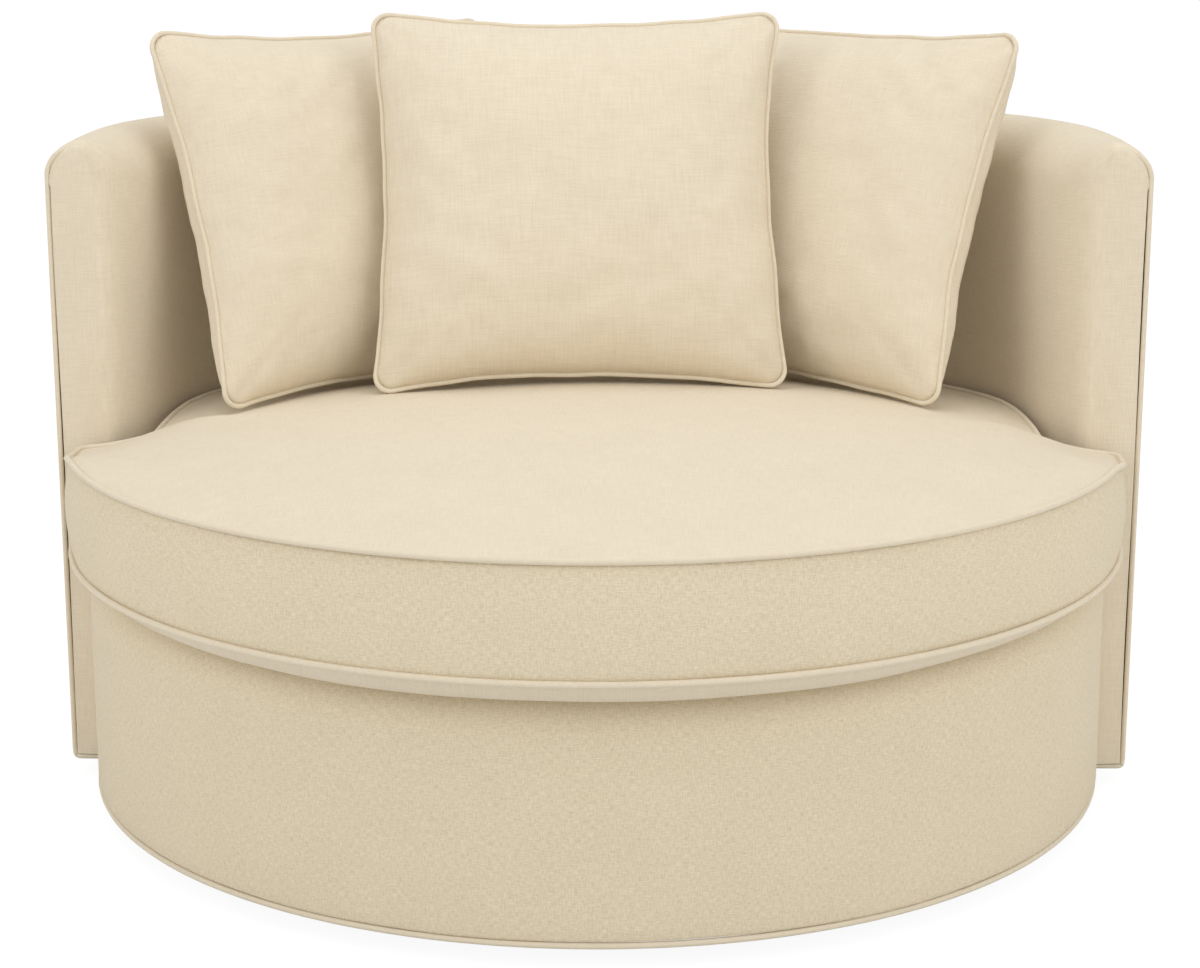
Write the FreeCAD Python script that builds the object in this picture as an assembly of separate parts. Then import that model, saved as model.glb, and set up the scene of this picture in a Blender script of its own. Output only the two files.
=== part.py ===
import FreeCAD, Part
import math
import os

# Cuddle chair: a round upholstered shell on a drum base that swivels on a low plinth,
# with a loose boxed seat cushion and three loose back pillows.
# Millimetres. +Z is up, the chair faces -Y, and the swivel axis is the Z axis.

# Heights of the base, from the floor up
glide_height = 6.0
plinth_thickness = 15.0
race_thickness = 4.5
race_gap = 3.0
mount_board_thickness = 18.0
skirt_height = 22.0
seat_board_top = 268.0
deck_height = 284.0

# Shell: a three-centred arch in plan, open to the front
shell_width = 1250.0
shell_depth = 520.0
side_radius = 430.0
arm_straight = 10.0
arm_front = 45.8
wall = 105.0
rim_height = 766.0
rim_round_outer = 45.0
rim_round_inner = 58.0
arm_edge_round = 50.0

# Drum base in front of the arms
drum_radius = 590.0
drum_setback = 48.0
drum_edge_round = 45.0
drum_top_lap = 25.0

# Cloth, padding, board and timber
cloth = 1.2
layer_gap = 0.3
front_padding = 12.0
deck_felt_thickness = 7.3
hard_board = 3.0
ply = 21.0
seat_board_thickness = 18.0
timber = 40.0
arm_board_thickness = 18.0
arm_board_width = 65.0
strap_width = 50.0
strap_thickness = 2.0
shell_welt = 6.0
dust_cloth = 1.0

# Swivel bearing and plinth
plinth_radius = 340.0
plinth_hole = 60.0
glide_radius = 25.0
glide_circle = 290.0
glide_count = 6
race_outer = 140.0
race_inner = 80.0
ball_diameter = 9.0
ball_count = 16
ball_play = 0.3
cage_thickness = 1.8
cage_width = 24.0
screw_diameter = 5.0
screw_length = 16.0
screw_circle_outer = 130.0
screw_count = 6
mount_board_radius = 190.0
cross_rail_width = 60.0
cross_rail_height = 45.0
cross_rail_length = 910.0
cross_rail_spacing = 240.0
frame_bolt_diameter = 8.0
bottom_opening = 410.0
post_offsets = ((450.0, -176.0), (245.0, -431.0), (470.0, 94.0), (370.0, 289.0))
side_upright_turns = (14.0, 38.0)
back_upright_turns = (64.0, 81.0)

# Seat springs
spring_opening_width = 660.0
spring_opening_depth = 640.0
spring_opening_centre = 29.8
spring_wire = 3.8
spring_count = 7
spring_spacing = 94.0
spring_width = 52.0
spring_pitch = 30.0
clip_width = 18.0
clip_length = 16.0
tie_wire = 1.8
tie_offset = 150.0

# Seat cushion
cushion_radius = 592.3
cushion_centre = -11.0
cushion_gap = 14.0
cushion_ear_round = 16.0
cushion_inner_round = 14.0
cushion_lower_welt = 316.0
cushion_upper_welt = 435.0
cushion_crown = 46.0
cushion_crown_power = 1.15
cushion_apex = -170.0
cushion_band_bulge = 7.0
cushion_clearance = 0.4
cushion_welt = 7.4
cushion_wrap = 12.0
zip_width = 30.0
zip_tape_thickness = 1.0
zip_half_angle = 26.0
zip_slider_length = 14.0
zip_slider_width = 10.0
zip_slider_thickness = 3.0

# Back pillows
pillow_corner = 14.0
pillow_pinch = 14.0
pillow_welt = 8.0
pillow_seam_slant = 2.2
pillow_cloth = 2.0
pillow_lean = 20.0
centre_pillow_width = 466.0
centre_pillow_height = 434.0
centre_pillow_thickness = 175.0
centre_pillow_x = -17.0
centre_pillow_y = 28.0
centre_pillow_drop = 4.7
centre_pillow_yaw = 5.3
side_pillow_width = 460.0
side_pillow_height = 432.0
side_pillow_thickness = 156.0
side_pillow_yaw = 40.0
left_pillow_inset = 278.7
left_pillow_y = 125.0
left_pillow_drop = 20.8
right_pillow_inset = 312.5
right_pillow_y = 156.0
right_pillow_drop = 19.0

# Levels that follow from the thicknesses
plinth_top = glide_height + plinth_thickness
upper_race_bottom = plinth_top + race_thickness + race_gap
mount_board_bottom = upper_race_bottom + race_thickness
frame_bottom = mount_board_bottom + mount_board_thickness
ball_height = plinth_top + race_thickness + race_gap / 2
ball_circle = (race_outer + race_inner) / 2
seat_board_bottom = seat_board_top - seat_board_thickness
cloth_bottom = skirt_height + shell_welt + 2 * layer_gap
bottom_board_bottom = frame_bottom - ply

# Plan of the arch
half_width = shell_width / 2
arch_x = half_width - side_radius
arch_y = arm_front + arm_straight
arch_rise = shell_depth - arm_straight
back_radius = (arch_x ** 2 + arch_rise ** 2 - side_radius ** 2) / (2 * (arch_rise - side_radius))
back_y = arch_y + arch_rise - back_radius
join_angle = math.degrees(math.atan2(arch_y - back_y, arch_x))
drum_y = arm_front + drum_setback

# Distances inward from the outside face of the wall
cloth_back = cloth + layer_gap
board_back = cloth_back + hard_board
frame_front = board_back + layer_gap + 1.7
frame_back = frame_front + timber
strap_back = frame_back + layer_gap + strap_thickness
padding_front = strap_back + layer_gap
rail_top = rim_height - rim_round_outer + 8.0
arm_board_back = arm_front + cloth_back + front_padding + layer_gap + arm_board_thickness
frame_behind = arm_board_back + 8.0


def vec(x, y, z=0.0):
    return FreeCAD.Vector(x, y, z)


z_axis = vec(0, 0, 1)


def box(x0, x1, y0, y1, z0, z1):
    return Part.makeBox(x1 - x0, y1 - y0, z1 - z0, vec(x0, y0, z0))


def cylinder(radius, z0, z1, x=0.0, y=0.0):
    return Part.makeCylinder(radius, z1 - z0, vec(x, y, z0))


def mirrored(shape):
    return shape.mirror(vec(0, 0, 0), vec(1, 0, 0))


def joined(shapes):
    first = shapes[0]
    if len(shapes) == 1:
        return first
    return first.fuse(shapes[1:]).removeSplitter()


def group(shapes):
    solids = []
    for shape in shapes:
        solids.extend(shape.Solids)
    return Part.makeCompound(solids)


def outline_edges(steps, close=True):
    """Edges through a list of points; a step of two points is an arc by way of the first."""
    edges = []
    start = steps[0]
    here = start
    for step in steps[1:]:
        if isinstance(step, tuple):
            edges.append(Part.Arc(here, step[0], step[1]).toShape())
            here = step[1]
        else:
            edges.append(Part.LineSegment(here, step).toShape())
            here = step
    if close and here.distanceToPoint(start) > 1e-6:
        edges.append(Part.LineSegment(here, start).toShape())
    return edges


def face_of(steps):
    return Part.Face(Part.Wire(outline_edges(steps)))


def tube(wire, diameter):
    """Round bar or cord along a wire of lines and arcs."""
    first = wire.OrderedEdges[0]
    start = first.valueAt(first.FirstParameter)
    direction = first.tangentAt(first.FirstParameter)
    if wire.OrderedVertexes[0].Point.distanceToPoint(start) > 1e-6:
        start = first.valueAt(first.LastParameter)
        direction = first.tangentAt(first.LastParameter)
    ring = Part.Wire(Part.Circle(start, direction, diameter / 2).toShape())
    shell = Part.BRepOffsetAPI.MakePipeShell(wire)
    shell.add(ring)
    shell.build()
    shell.makeSolid()
    return shell.shape()


# Sections of the wall: inward distance and height, as seen at the right arm

def section(steps, radius):
    placed = []
    for step in steps:
        if isinstance(step[0], tuple):
            placed.append(tuple(vec(radius - s, 0, z) for s, z in step))
        else:
            placed.append(vec(radius - step[0], 0, step[1]))
    return face_of(placed)


def rectangle(s0, s1, z0, z1):
    return [(s0, z0), (s0, z1), (s1, z1), (s1, z0)]


def wall_section(inset, bottom):
    outer = rim_round_outer
    inner = rim_round_inner
    half = math.sqrt(0.5)
    outer_mid = (outer - (outer - inset) * half, rim_height - outer + (outer - inset) * half)
    inner_mid = (wall - inner + (inner - inset) * half, rim_height - inner + (inner - inset) * half)
    return [
        (inset, bottom),
        (inset, rim_height - outer),
        (outer_mid, (outer, rim_height - inset)),
        (wall - inner, rim_height - inset),
        (inner_mid, (wall - inset, rim_height - inner)),
        (wall - inset, bottom),
    ]


def arch(steps, front):
    """Carry a wall section along the arch, from the plane y = front round to the other arm."""
    leg = section(steps, half_width)
    leg.translate(vec(0, min(front, arch_y), 0))
    side = section(steps, side_radius)
    side.translate(vec(arch_x, arch_y, 0))
    side = side.revolve(vec(arch_x, arch_y, 0), z_axis, join_angle)
    back = section(steps, back_radius)
    back.rotate(vec(0, 0, 0), z_axis, join_angle)
    back.translate(vec(0, back_y, 0))
    back = back.revolve(vec(0, back_y, 0), z_axis, 180 - 2 * join_angle)
    pieces = [side, back, mirrored(side)]
    if front < arch_y:
        leg = leg.extrude(vec(0, arch_y - front, 0))
        pieces += [leg, mirrored(leg)]
    whole = joined(pieces)
    if front > arch_y:
        whole = whole.cut(box(-half_width, half_width, arm_front - 10, front, -10, rim_height + 10))
    return whole


def arch_interior(s, front, z0, z1):
    """Solid of the room inside the arch, inward distance s from the outside face, behind y = front."""
    side = side_radius - s
    back = back_radius - s
    turn = math.radians(join_angle)
    join = vec(arch_x + side * math.cos(turn), arch_y + side * math.sin(turn), z0)
    side_mid = vec(arch_x + side * math.cos(turn / 2), arch_y + side * math.sin(turn / 2), z0)
    leg_x = half_width - s
    steps = [
        vec(-leg_x, min(front, arch_y), z0),
        vec(leg_x, min(front, arch_y), z0),
        vec(leg_x, arch_y, z0),
        (side_mid, join),
        (vec(0, back_y + back, z0), vec(-join.x, join.y, z0)),
        (vec(-side_mid.x, side_mid.y, z0), vec(-leg_x, arch_y, z0)),
    ]
    if front >= arch_y:
        steps = [steps[0]] + steps[2:]
    room = face_of(steps).extrude(vec(0, 0, z1 - z0))
    if front > arch_y:
        room = room.cut(box(-half_width, half_width, arm_front - 10, front, z0 - 1, z1 + 1))
    return room


def arm_edge_tool(inset):
    """What the rounded inner front edge takes off the right arm."""
    x = half_width - wall + arm_edge_round
    y = arm_front + arm_edge_round
    reach = arm_edge_round + 30
    corner = box(x - reach, x, y - reach, y, -10, rim_height + 10)
    return corner.cut(cylinder(arm_edge_round - inset, -20, rim_height + 20, x, y))


def wall_body(inset, bottom):
    """The padded wall of shell and arms, shrunk all round by inset."""
    body = arch(wall_section(inset, bottom), arm_front + inset)
    tool = arm_edge_tool(inset)
    return body.cut([tool, mirrored(tool)])


# Swivel base

def on_circle(radius, count, start=0.0):
    step = 2 * math.pi / count
    return [
        (radius * math.cos(start + i * step), radius * math.sin(start + i * step))
        for i in range(count)
    ]


def floor_glides():
    return group([
        cylinder(glide_radius, 0, glide_height, x, y)
        for x, y in on_circle(glide_circle, glide_count)
    ])


def plinth_board():
    board = cylinder(plinth_radius, glide_height, plinth_top)
    board = board.cut(cylinder(plinth_hole, 0, plinth_top + 1))
    holes = [
        cylinder(screw_diameter / 2, plinth_top - screw_length + race_thickness, plinth_top, x, y)
        for x, y in on_circle(screw_circle_outer, screw_count)
    ]
    return board.cut(holes)


def race(bottom, groove_height):
    ring = cylinder(race_outer, bottom, bottom + race_thickness)
    ring = ring.cut(cylinder(race_inner, bottom - 1, bottom + race_thickness + 1))
    groove = Part.makeTorus(ball_circle, ball_diameter / 2 + ball_play, vec(0, 0, groove_height))
    return ring.cut(groove)


def swivel_lower_race():
    holes = [
        cylinder(screw_diameter / 2, plinth_top - 1, plinth_top + race_thickness + 1, x, y)
        for x, y in on_circle(screw_circle_outer, screw_count)
    ]
    return race(plinth_top, ball_height).cut(holes)


def swivel_upper_race():
    holes = [
        cylinder(screw_diameter / 2, upper_race_bottom - 1, mount_board_bottom + 1, x, y)
        for x, y in on_circle(screw_circle_outer, screw_count, math.pi / screw_count)
    ]
    return race(upper_race_bottom, ball_height).cut(holes)


def lower_race_screws():
    top = plinth_top + race_thickness
    return group([
        cylinder(screw_diameter / 2, top - screw_length, top, x, y)
        for x, y in on_circle(screw_circle_outer, screw_count)
    ])


def upper_race_screws():
    return group([
        cylinder(screw_diameter / 2, upper_race_bottom, upper_race_bottom + screw_length, x, y)
        for x, y in on_circle(screw_circle_outer, screw_count, math.pi / screw_count)
    ])


def ball_cage():
    bottom = ball_height - cage_thickness / 2
    ring = cylinder(ball_circle + cage_width / 2, bottom, bottom + cage_thickness)
    ring = ring.cut(cylinder(ball_circle - cage_width / 2, bottom - 1, bottom + cage_thickness + 1))
    pockets = [
        cylinder(ball_diameter / 2 + ball_play, bottom - 1, bottom + cage_thickness + 1, x, y)
        for x, y in on_circle(ball_circle, ball_count)
    ]
    return ring.cut(pockets)


def bearing_balls():
    return group([
        Part.makeSphere(ball_diameter / 2, vec(x, y, ball_height))
        for x, y in on_circle(ball_circle, ball_count)
    ])


# Frame of the chair above the swivel

def bolt_places():
    half = cross_rail_spacing / 2
    reach = math.sqrt(mount_board_radius ** 2 - half ** 2) - 30
    return [(x, y) for x in (-half, half) for y in (-reach, reach)]


def swivel_mount_board():
    board = cylinder(mount_board_radius, mount_board_bottom, frame_bottom)
    holes = [
        cylinder(screw_diameter / 2, mount_board_bottom - 1, upper_race_bottom + screw_length, x, y)
        for x, y in on_circle(screw_circle_outer, screw_count, math.pi / screw_count)
    ]
    holes += [
        cylinder(frame_bolt_diameter / 2, mount_board_bottom - 1, frame_bottom + 1, x, y)
        for x, y in bolt_places()
    ]
    return board.cut(holes)


def swivel_cross_rails():
    half = cross_rail_width / 2
    rails = []
    for x in (-cross_rail_spacing / 2, cross_rail_spacing / 2):
        rail = box(x - half, x + half, -cross_rail_length / 2, cross_rail_length / 2,
                   frame_bottom, frame_bottom + cross_rail_height)
        holes = [
            cylinder(frame_bolt_diameter / 2, frame_bottom - 1, frame_bottom + cross_rail_height + 1, bx, by)
            for bx, by in bolt_places()
        ]
        rails.append(rail.cut(holes))
    return group(rails)


def frame_bolts():
    top = frame_bottom + cross_rail_height
    bolts = []
    for x, y in bolt_places():
        shank = cylinder(frame_bolt_diameter / 2, mount_board_bottom, top, x, y)
        head = cylinder(frame_bolt_diameter, top, top + frame_bolt_diameter * 0.6, x, y)
        bolts.append(joined([shank, head]))
    return group(bolts)


def frame_plan(z0, z1):
    """Floor plan that the drum frame shares: a disc before the arms and the room behind them."""
    radius = drum_radius - cloth_back - front_padding - layer_gap - hard_board - layer_gap
    throat = half_width - wall - 2.0
    disc = cylinder(radius, z0, z1, 0, drum_y)
    disc = disc.cut(box(-radius - 1, radius + 1, arm_front - 2, drum_y + radius + 1, z0 - 1, z1 + 1))
    neck = box(-throat, throat, arm_front - 4, frame_behind + 2, z0, z1)
    room = arch_interior(frame_back + layer_gap, frame_behind, z0, z1)
    return joined([disc, neck, room])


def base_bottom_board():
    plan = frame_plan(bottom_board_bottom, frame_bottom)
    return plan.cut(cylinder(bottom_opening, 0, frame_bottom + 1))


def seat_board():
    plan = frame_plan(seat_board_bottom, seat_board_top)
    half = spring_opening_width / 2
    front = spring_opening_centre - spring_opening_depth / 2
    rear = spring_opening_centre + spring_opening_depth / 2
    return plan.cut(box(-half, half, front, rear, seat_board_bottom - 1, seat_board_top + 1))


def post_places():
    return [(x, arm_front + y) for x, y in post_offsets]


def base_posts():
    half = timber / 2
    posts = []
    for x, y in post_places():
        post = box(x - half, x + half, y - half, y + half, frame_bottom, seat_board_bottom)
        posts += [post, mirrored(post)]
    return group(posts)


def corner_blocks():
    """Glue blocks in the corner between each post and the seat board."""
    half = timber / 2
    blocks = []
    for x, y in post_places():
        inner = x - half
        steps = [
            vec(inner, y, seat_board_bottom),
            vec(inner, y, seat_board_bottom - timber),
            vec(inner - timber, y, seat_board_bottom),
        ]
        block = face_of(steps).extrude(vec(0, timber / 2, 0))
        block.translate(vec(0, -timber / 4, 0))
        blocks += [block, mirrored(block)]
    return group(blocks)


def dust_cover():
    top = bottom_board_bottom - layer_gap
    plan = frame_plan(top - dust_cloth, top)
    return plan.cut(cylinder(race_outer + 5, 0, top + 1))


# Seat springs and deck

def spring_path(x):
    """Zigzag of straight runs and half turns, from front clip to rear clip."""
    radius = spring_pitch / 2
    reach = spring_width / 2 - radius
    runs = int(round((spring_opening_depth + clip_length) / spring_pitch))
    start = spring_opening_centre - runs * spring_pitch / 2
    z = spring_height()
    steps = [vec(x - reach, start, z)]
    side = 1
    for i in range(runs + 1):
        y = start + i * spring_pitch
        steps.append(vec(x + side * reach, y, z))
        if i < runs:
            turn = vec(x + side * (reach + radius), y + radius, z)
            steps.append((turn, vec(x + side * reach, y + spring_pitch, z)))
        side = -side
    return Part.Wire(outline_edges(steps, close=False))


def spring_height():
    return seat_board_top + 1.2 + spring_wire / 2


def spring_places():
    first = -spring_spacing * (spring_count - 1) / 2
    return [first + i * spring_spacing for i in range(spring_count)]


def seat_springs():
    return group([tube(spring_path(x), spring_wire) for x in spring_places()])


def spring_clips():
    runs = int(round((spring_opening_depth + clip_length) / spring_pitch))
    reach = runs * spring_pitch / 2
    z = spring_height()
    clips = []
    for x in spring_places():
        for y in (spring_opening_centre - reach, spring_opening_centre + reach):
            clip = box(x - clip_width / 2, x + clip_width / 2, y - clip_length / 2, y + clip_length / 2,
                       seat_board_top, z + spring_wire / 2 + 1.2)
            channel = Part.makeCylinder(spring_wire / 2 + 0.1, clip_width + 2,
                                        vec(x - clip_width / 2 - 1, y, z), vec(1, 0, 0))
            clips.append(clip.cut(channel))
    return group(clips)


def spring_tie_wires():
    z = spring_height() + spring_wire / 2 + tie_wire / 2
    half = spring_opening_width / 2
    wires = []
    for y in (spring_opening_centre - tie_offset, spring_opening_centre + tie_offset):
        wires.append(Part.makeCylinder(tie_wire / 2, 2 * half, vec(-half, y, z), vec(1, 0, 0)))
    return group(wires)


def deck_plan(inset, z0, z1):
    radius = drum_radius - drum_edge_round - drum_top_lap - inset
    disc = cylinder(radius, z0, z1, 0, drum_y)
    disc = disc.cut(box(-radius - 1, radius + 1, arm_front - 1, drum_y + radius + 1, z0 - 1, z1 + 1))
    neck_half = min(half_width - wall - inset, radius) - 4
    neck = box(-neck_half, neck_half, arm_front - 3, arch_y + 1, z0, z1)
    room = arch_interior(wall + inset, arch_y, z0, z1)
    return joined([disc, neck, room])


def deck_felt():
    top = deck_height - cloth - layer_gap
    return deck_plan(layer_gap, top - deck_felt_thickness, top)


def deck_cover():
    return deck_plan(layer_gap, deck_height - cloth, deck_height)


# Drum front

def drum_ring(steps):
    """Turn a section about the drum's own centre and keep what lies before the arms."""
    face = face_of(steps)
    face.translate(vec(0, drum_y, 0))
    ring = face.revolve(vec(0, drum_y, 0), z_axis, 360)
    reach = drum_radius + 10
    return ring.cut(box(-reach, reach, arm_front - layer_gap, drum_y + reach, 0, deck_height + 10))


def drum_section(inset, bottom, top_inner):
    """Outer line of the drum from its bottom edge to the inner edge of its top."""
    radius = drum_radius - inset
    top = deck_height - inset
    r = drum_edge_round - inset
    half = math.sqrt(0.5)
    cx = drum_radius - drum_edge_round
    cz = deck_height - drum_edge_round
    return [
        vec(radius, 0, bottom),
        vec(radius, 0, cz),
        (vec(cx + r * half, 0, cz + r * half), vec(cx, 0, top)),
        vec(top_inner, 0, top),
    ]


def reversed_steps(steps):
    """The same line walked the other way."""
    points = [step[1] if isinstance(step, tuple) else step for step in steps]
    back = [points[-1]]
    for i in range(len(steps) - 1, 0, -1):
        if isinstance(steps[i], tuple):
            back.append((steps[i][0], points[i - 1]))
        else:
            back.append(points[i - 1])
    return back


def base_front_cover():
    top_inner = drum_radius - drum_edge_round - drum_top_lap
    outer = drum_section(0, cloth_bottom, top_inner)
    inner = drum_section(cloth, cloth_bottom, top_inner)
    return drum_ring(outer + reversed_steps(inner))


def base_front_padding():
    top_inner = drum_radius - drum_edge_round - drum_top_lap
    outer = drum_section(cloth_back, cloth_bottom, top_inner)
    back = drum_radius - cloth_back - front_padding
    inner = [
        vec(top_inner, 0, seat_board_top + layer_gap),
        vec(back, 0, seat_board_top + layer_gap),
        vec(back, 0, cloth_bottom),
    ]
    return drum_ring(outer + inner)


def base_front_panel():
    outer = drum_radius - cloth_back - front_padding - layer_gap
    inner = outer - hard_board
    return drum_ring([
        vec(outer, 0, cloth_bottom),
        vec(outer, 0, seat_board_top),
        vec(inner, 0, seat_board_top),
        vec(inner, 0, cloth_bottom),
    ])


def base_bottom_welt():
    r = drum_radius - shell_welt / 2
    z = skirt_height + shell_welt / 2
    y = arm_front - 1.0
    x = math.sqrt(r ** 2 - (y - drum_y) ** 2)
    slant = math.radians(50)
    side_x = r * math.sin(slant)
    side_y = drum_y - r * math.cos(slant)
    steps = [
        vec(-x, y, z),
        (vec(-side_x, side_y, z), vec(0, drum_y - r, z)),
        (vec(side_x, side_y, z), vec(x, y, z)),
    ]
    return tube(Part.Wire(outline_edges(steps, close=False)), shell_welt)


# Shell

def shell_bottom_rail():
    return arch(rectangle(frame_front, frame_back, bottom_board_bottom, frame_bottom), arm_board_back)


def shell_top_rail():
    return arch(rectangle(frame_front, frame_back, rail_top - ply, rail_top), arm_board_back)


def arm_front_board():
    y = arm_front + cloth_back + front_padding + layer_gap
    x = half_width - frame_front
    return box(x - arm_board_width, x, y, y + arm_board_thickness, cloth_bottom, rail_top)


def shell_uprights():
    places = [(arch_x, arch_y, side_radius, turn) for turn in side_upright_turns]
    places += [(0.0, back_y, back_radius, turn) for turn in back_upright_turns]
    posts = []
    for cx, cy, radius, angle in places:
        post = box(radius - frame_back + 1, radius - frame_front - 1, -timber / 2, timber / 2,
                   frame_bottom, rail_top - ply)
        post.rotate(vec(0, 0, 0), z_axis, angle)
        post.translate(vec(cx, cy, 0))
        posts += [post, mirrored(post)]
    return group(posts)


def strap_heights():
    first = deck_height + 60.0
    last = rail_top - ply - strap_width
    step = (last - first) / 3
    return [first + i * step for i in range(4)]


def back_webbing():
    s0 = frame_back + layer_gap
    straps = [
        arch(rectangle(s0, s0 + strap_thickness, z, z + strap_width), arm_board_back + layer_gap)
        for z in strap_heights()
    ]
    return group(straps)


def outside_board():
    front = arm_front + cloth_back + front_padding
    top = rim_height - rim_round_outer
    return arch(rectangle(cloth_back, board_back, cloth_bottom, top), front)


def front_welt_path():
    """Up the outer front edge of the right arm and over the outside of the rim."""
    inset = shell_welt / 2 + 0.2
    r = rim_round_outer - inset
    y = arm_front + inset
    half = math.sqrt(0.5)
    x = half_width - rim_round_outer
    z = rim_height - rim_round_outer
    steps = [
        vec(half_width - inset, y, cloth_bottom),
        vec(half_width - inset, y, z),
        (vec(x + r * half, y, z + r * half), vec(x, y, z + r)),
    ]
    return Part.Wire(outline_edges(steps, close=False))


def shell_front_welt():
    return tube(front_welt_path(), shell_welt)


def front_welt_channel():
    inset = shell_welt + 0.5
    x = half_width
    post = box(x - inset, x + 5, arm_front - 5, arm_front + inset, 0, rim_height - rim_round_outer)
    over = tube(front_welt_path(), shell_welt + 0.8)
    return joined([post, over])


def shell_inside_cover():
    """Cloth over the arm fronts, the rim and the inside of the wall."""
    cover = wall_body(0, cloth_bottom).cut(wall_body(cloth, cloth_bottom - 10))
    seam_height = rim_height - rim_round_outer + layer_gap
    outer = arch(rectangle(-5, cloth + 0.1, 0, seam_height), arm_front + shell_welt)
    below = arch(rectangle(frame_back, wall + 5, 0, seat_board_top + layer_gap), frame_behind - layer_gap)
    channel = front_welt_channel()
    return cover.cut([outer, below, channel, mirrored(channel)])


def shell_outside_cover():
    seam_height = rim_height - rim_round_outer
    return arch(rectangle(0, cloth, cloth_bottom, seam_height), arm_front + shell_welt + 1.0)


def shell_padding():
    """Foam over the arm fronts, the rim and the inside of the wall."""
    foam = wall_body(cloth_back, cloth_bottom)
    behind = arm_front + cloth_back + front_padding
    room = arch(rectangle(-5, padding_front, 0, rail_top + layer_gap), behind)
    lower = arch(rectangle(padding_front - 1, wall + 5, 0, seat_board_top + layer_gap), behind)
    boards = arm_front_board()
    slot = box(half_width - frame_front - arm_board_width - layer_gap, half_width,
               behind, behind + arm_board_thickness + 3 * layer_gap, 0, rail_top + layer_gap)
    channel = front_welt_channel()
    right_arm = [boards, slot, channel]
    left_arm = [mirrored(shape) for shape in right_arm]
    return foam.cut([room, lower] + right_arm + left_arm)


def shell_bottom_welt():
    """Cord along the bottom edge, from one arm front round the outside to the other."""
    inset = shell_welt / 2 + 0.2
    corner = 8.0
    half = math.sqrt(0.5)
    z = skirt_height + shell_welt / 2
    x = half_width - inset
    y = arm_front + inset
    side = side_radius - inset
    back = back_radius - inset
    turn = math.radians(join_angle)
    join = vec(arch_x + side * math.cos(turn), arch_y + side * math.sin(turn), z)
    side_mid = vec(arch_x + side * math.cos(turn / 2), arch_y + side * math.sin(turn / 2), z)
    inner = half_width - wall + arm_edge_round
    steps = [
        vec(inner, y, z),
        vec(x - corner, y, z),
        (vec(x - corner + corner * half, y + corner - corner * half, z), vec(x, y + corner, z)),
        vec(x, arch_y, z),
        (side_mid, join),
        (vec(0, back_y + back, z), vec(-join.x, join.y, z)),
        (vec(-side_mid.x, side_mid.y, z), vec(-x, arch_y, z)),
        vec(-x, y + corner, z),
        (vec(-x + corner - corner * half, y + corner - corner * half, z), vec(-x + corner, y, z)),
        vec(-inner, y, z),
    ]
    return tube(Part.Wire(outline_edges(steps, close=False)), shell_welt)


# Seat cushion

def cushion_outline(inset, z):
    """Plan of the cushion: a round front with an ear before each arm, and the arch behind."""
    cy = arm_front + cushion_centre
    radius = cushion_radius - inset
    line_y = arm_front - cushion_gap - inset
    ear = cushion_ear_round - inset
    ear_y = line_y - ear
    ear_x = math.sqrt((radius - ear) ** 2 - (ear_y - cy) ** 2)
    ear_turn = math.atan2(ear_y - cy, ear_x)
    ear_start = vec(radius * math.cos(ear_turn), cy + radius * math.sin(ear_turn), z)
    ear_mid_turn = (ear_turn + math.pi / 2) / 2
    ear_mid = vec(ear_x + ear * math.cos(ear_mid_turn), ear_y + ear * math.sin(ear_mid_turn), z)
    leg_x = half_width - wall - cushion_gap - inset
    inner = cushion_inner_round + inset
    half = math.sqrt(0.5)
    inner_mid = vec(leg_x + inner - inner * half, line_y + inner - inner * half, z)
    s = wall + cushion_gap + inset
    side = side_radius - s
    back = back_radius - s
    turn = math.radians(join_angle)
    join = vec(arch_x + side * math.cos(turn), arch_y + side * math.sin(turn), z)
    side_mid = vec(arch_x + side * math.cos(turn / 2), arch_y + side * math.sin(turn / 2), z)
    front_turn = (ear_turn - math.pi / 2) / 2
    front_mid = vec(radius * math.cos(front_turn), cy + radius * math.sin(front_turn), z)

    def left(p):
        return vec(-p.x, p.y, p.z)

    front = vec(0, cy - radius, z)
    ear_end = vec(ear_x, line_y, z)
    inner_start = vec(leg_x + inner, line_y, z)
    inner_end = vec(leg_x, line_y + inner, z)
    leg_end = vec(leg_x, arch_y, z)
    steps = [
        front,
        (front_mid, ear_start),
        (ear_mid, ear_end),
        inner_start,
        (inner_mid, inner_end),
        leg_end,
        (side_mid, join),
        (vec(0, back_y + back, z), left(join)),
        (left(side_mid), left(leg_end)),
        left(inner_end),
        (left(inner_mid), left(inner_start)),
        left(ear_end),
        (left(ear_mid), left(ear_start)),
        (left(front_mid), front),
    ]
    return Part.Wire(outline_edges(steps))


def cushion_slice(inset, scale, z):
    """The outline drawn in towards the apex of the crown, at height z."""
    wire = cushion_outline(inset, 0)
    apex = arm_front + cushion_apex
    move = FreeCAD.Matrix()
    move.move(vec(0, -apex, 0))
    shrink = FreeCAD.Matrix()
    shrink.scale(vec(scale, scale, 1))
    back = FreeCAD.Matrix()
    back.move(vec(0, apex, z))
    return wire.transformGeometry(back.multiply(shrink.multiply(move)))


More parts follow.
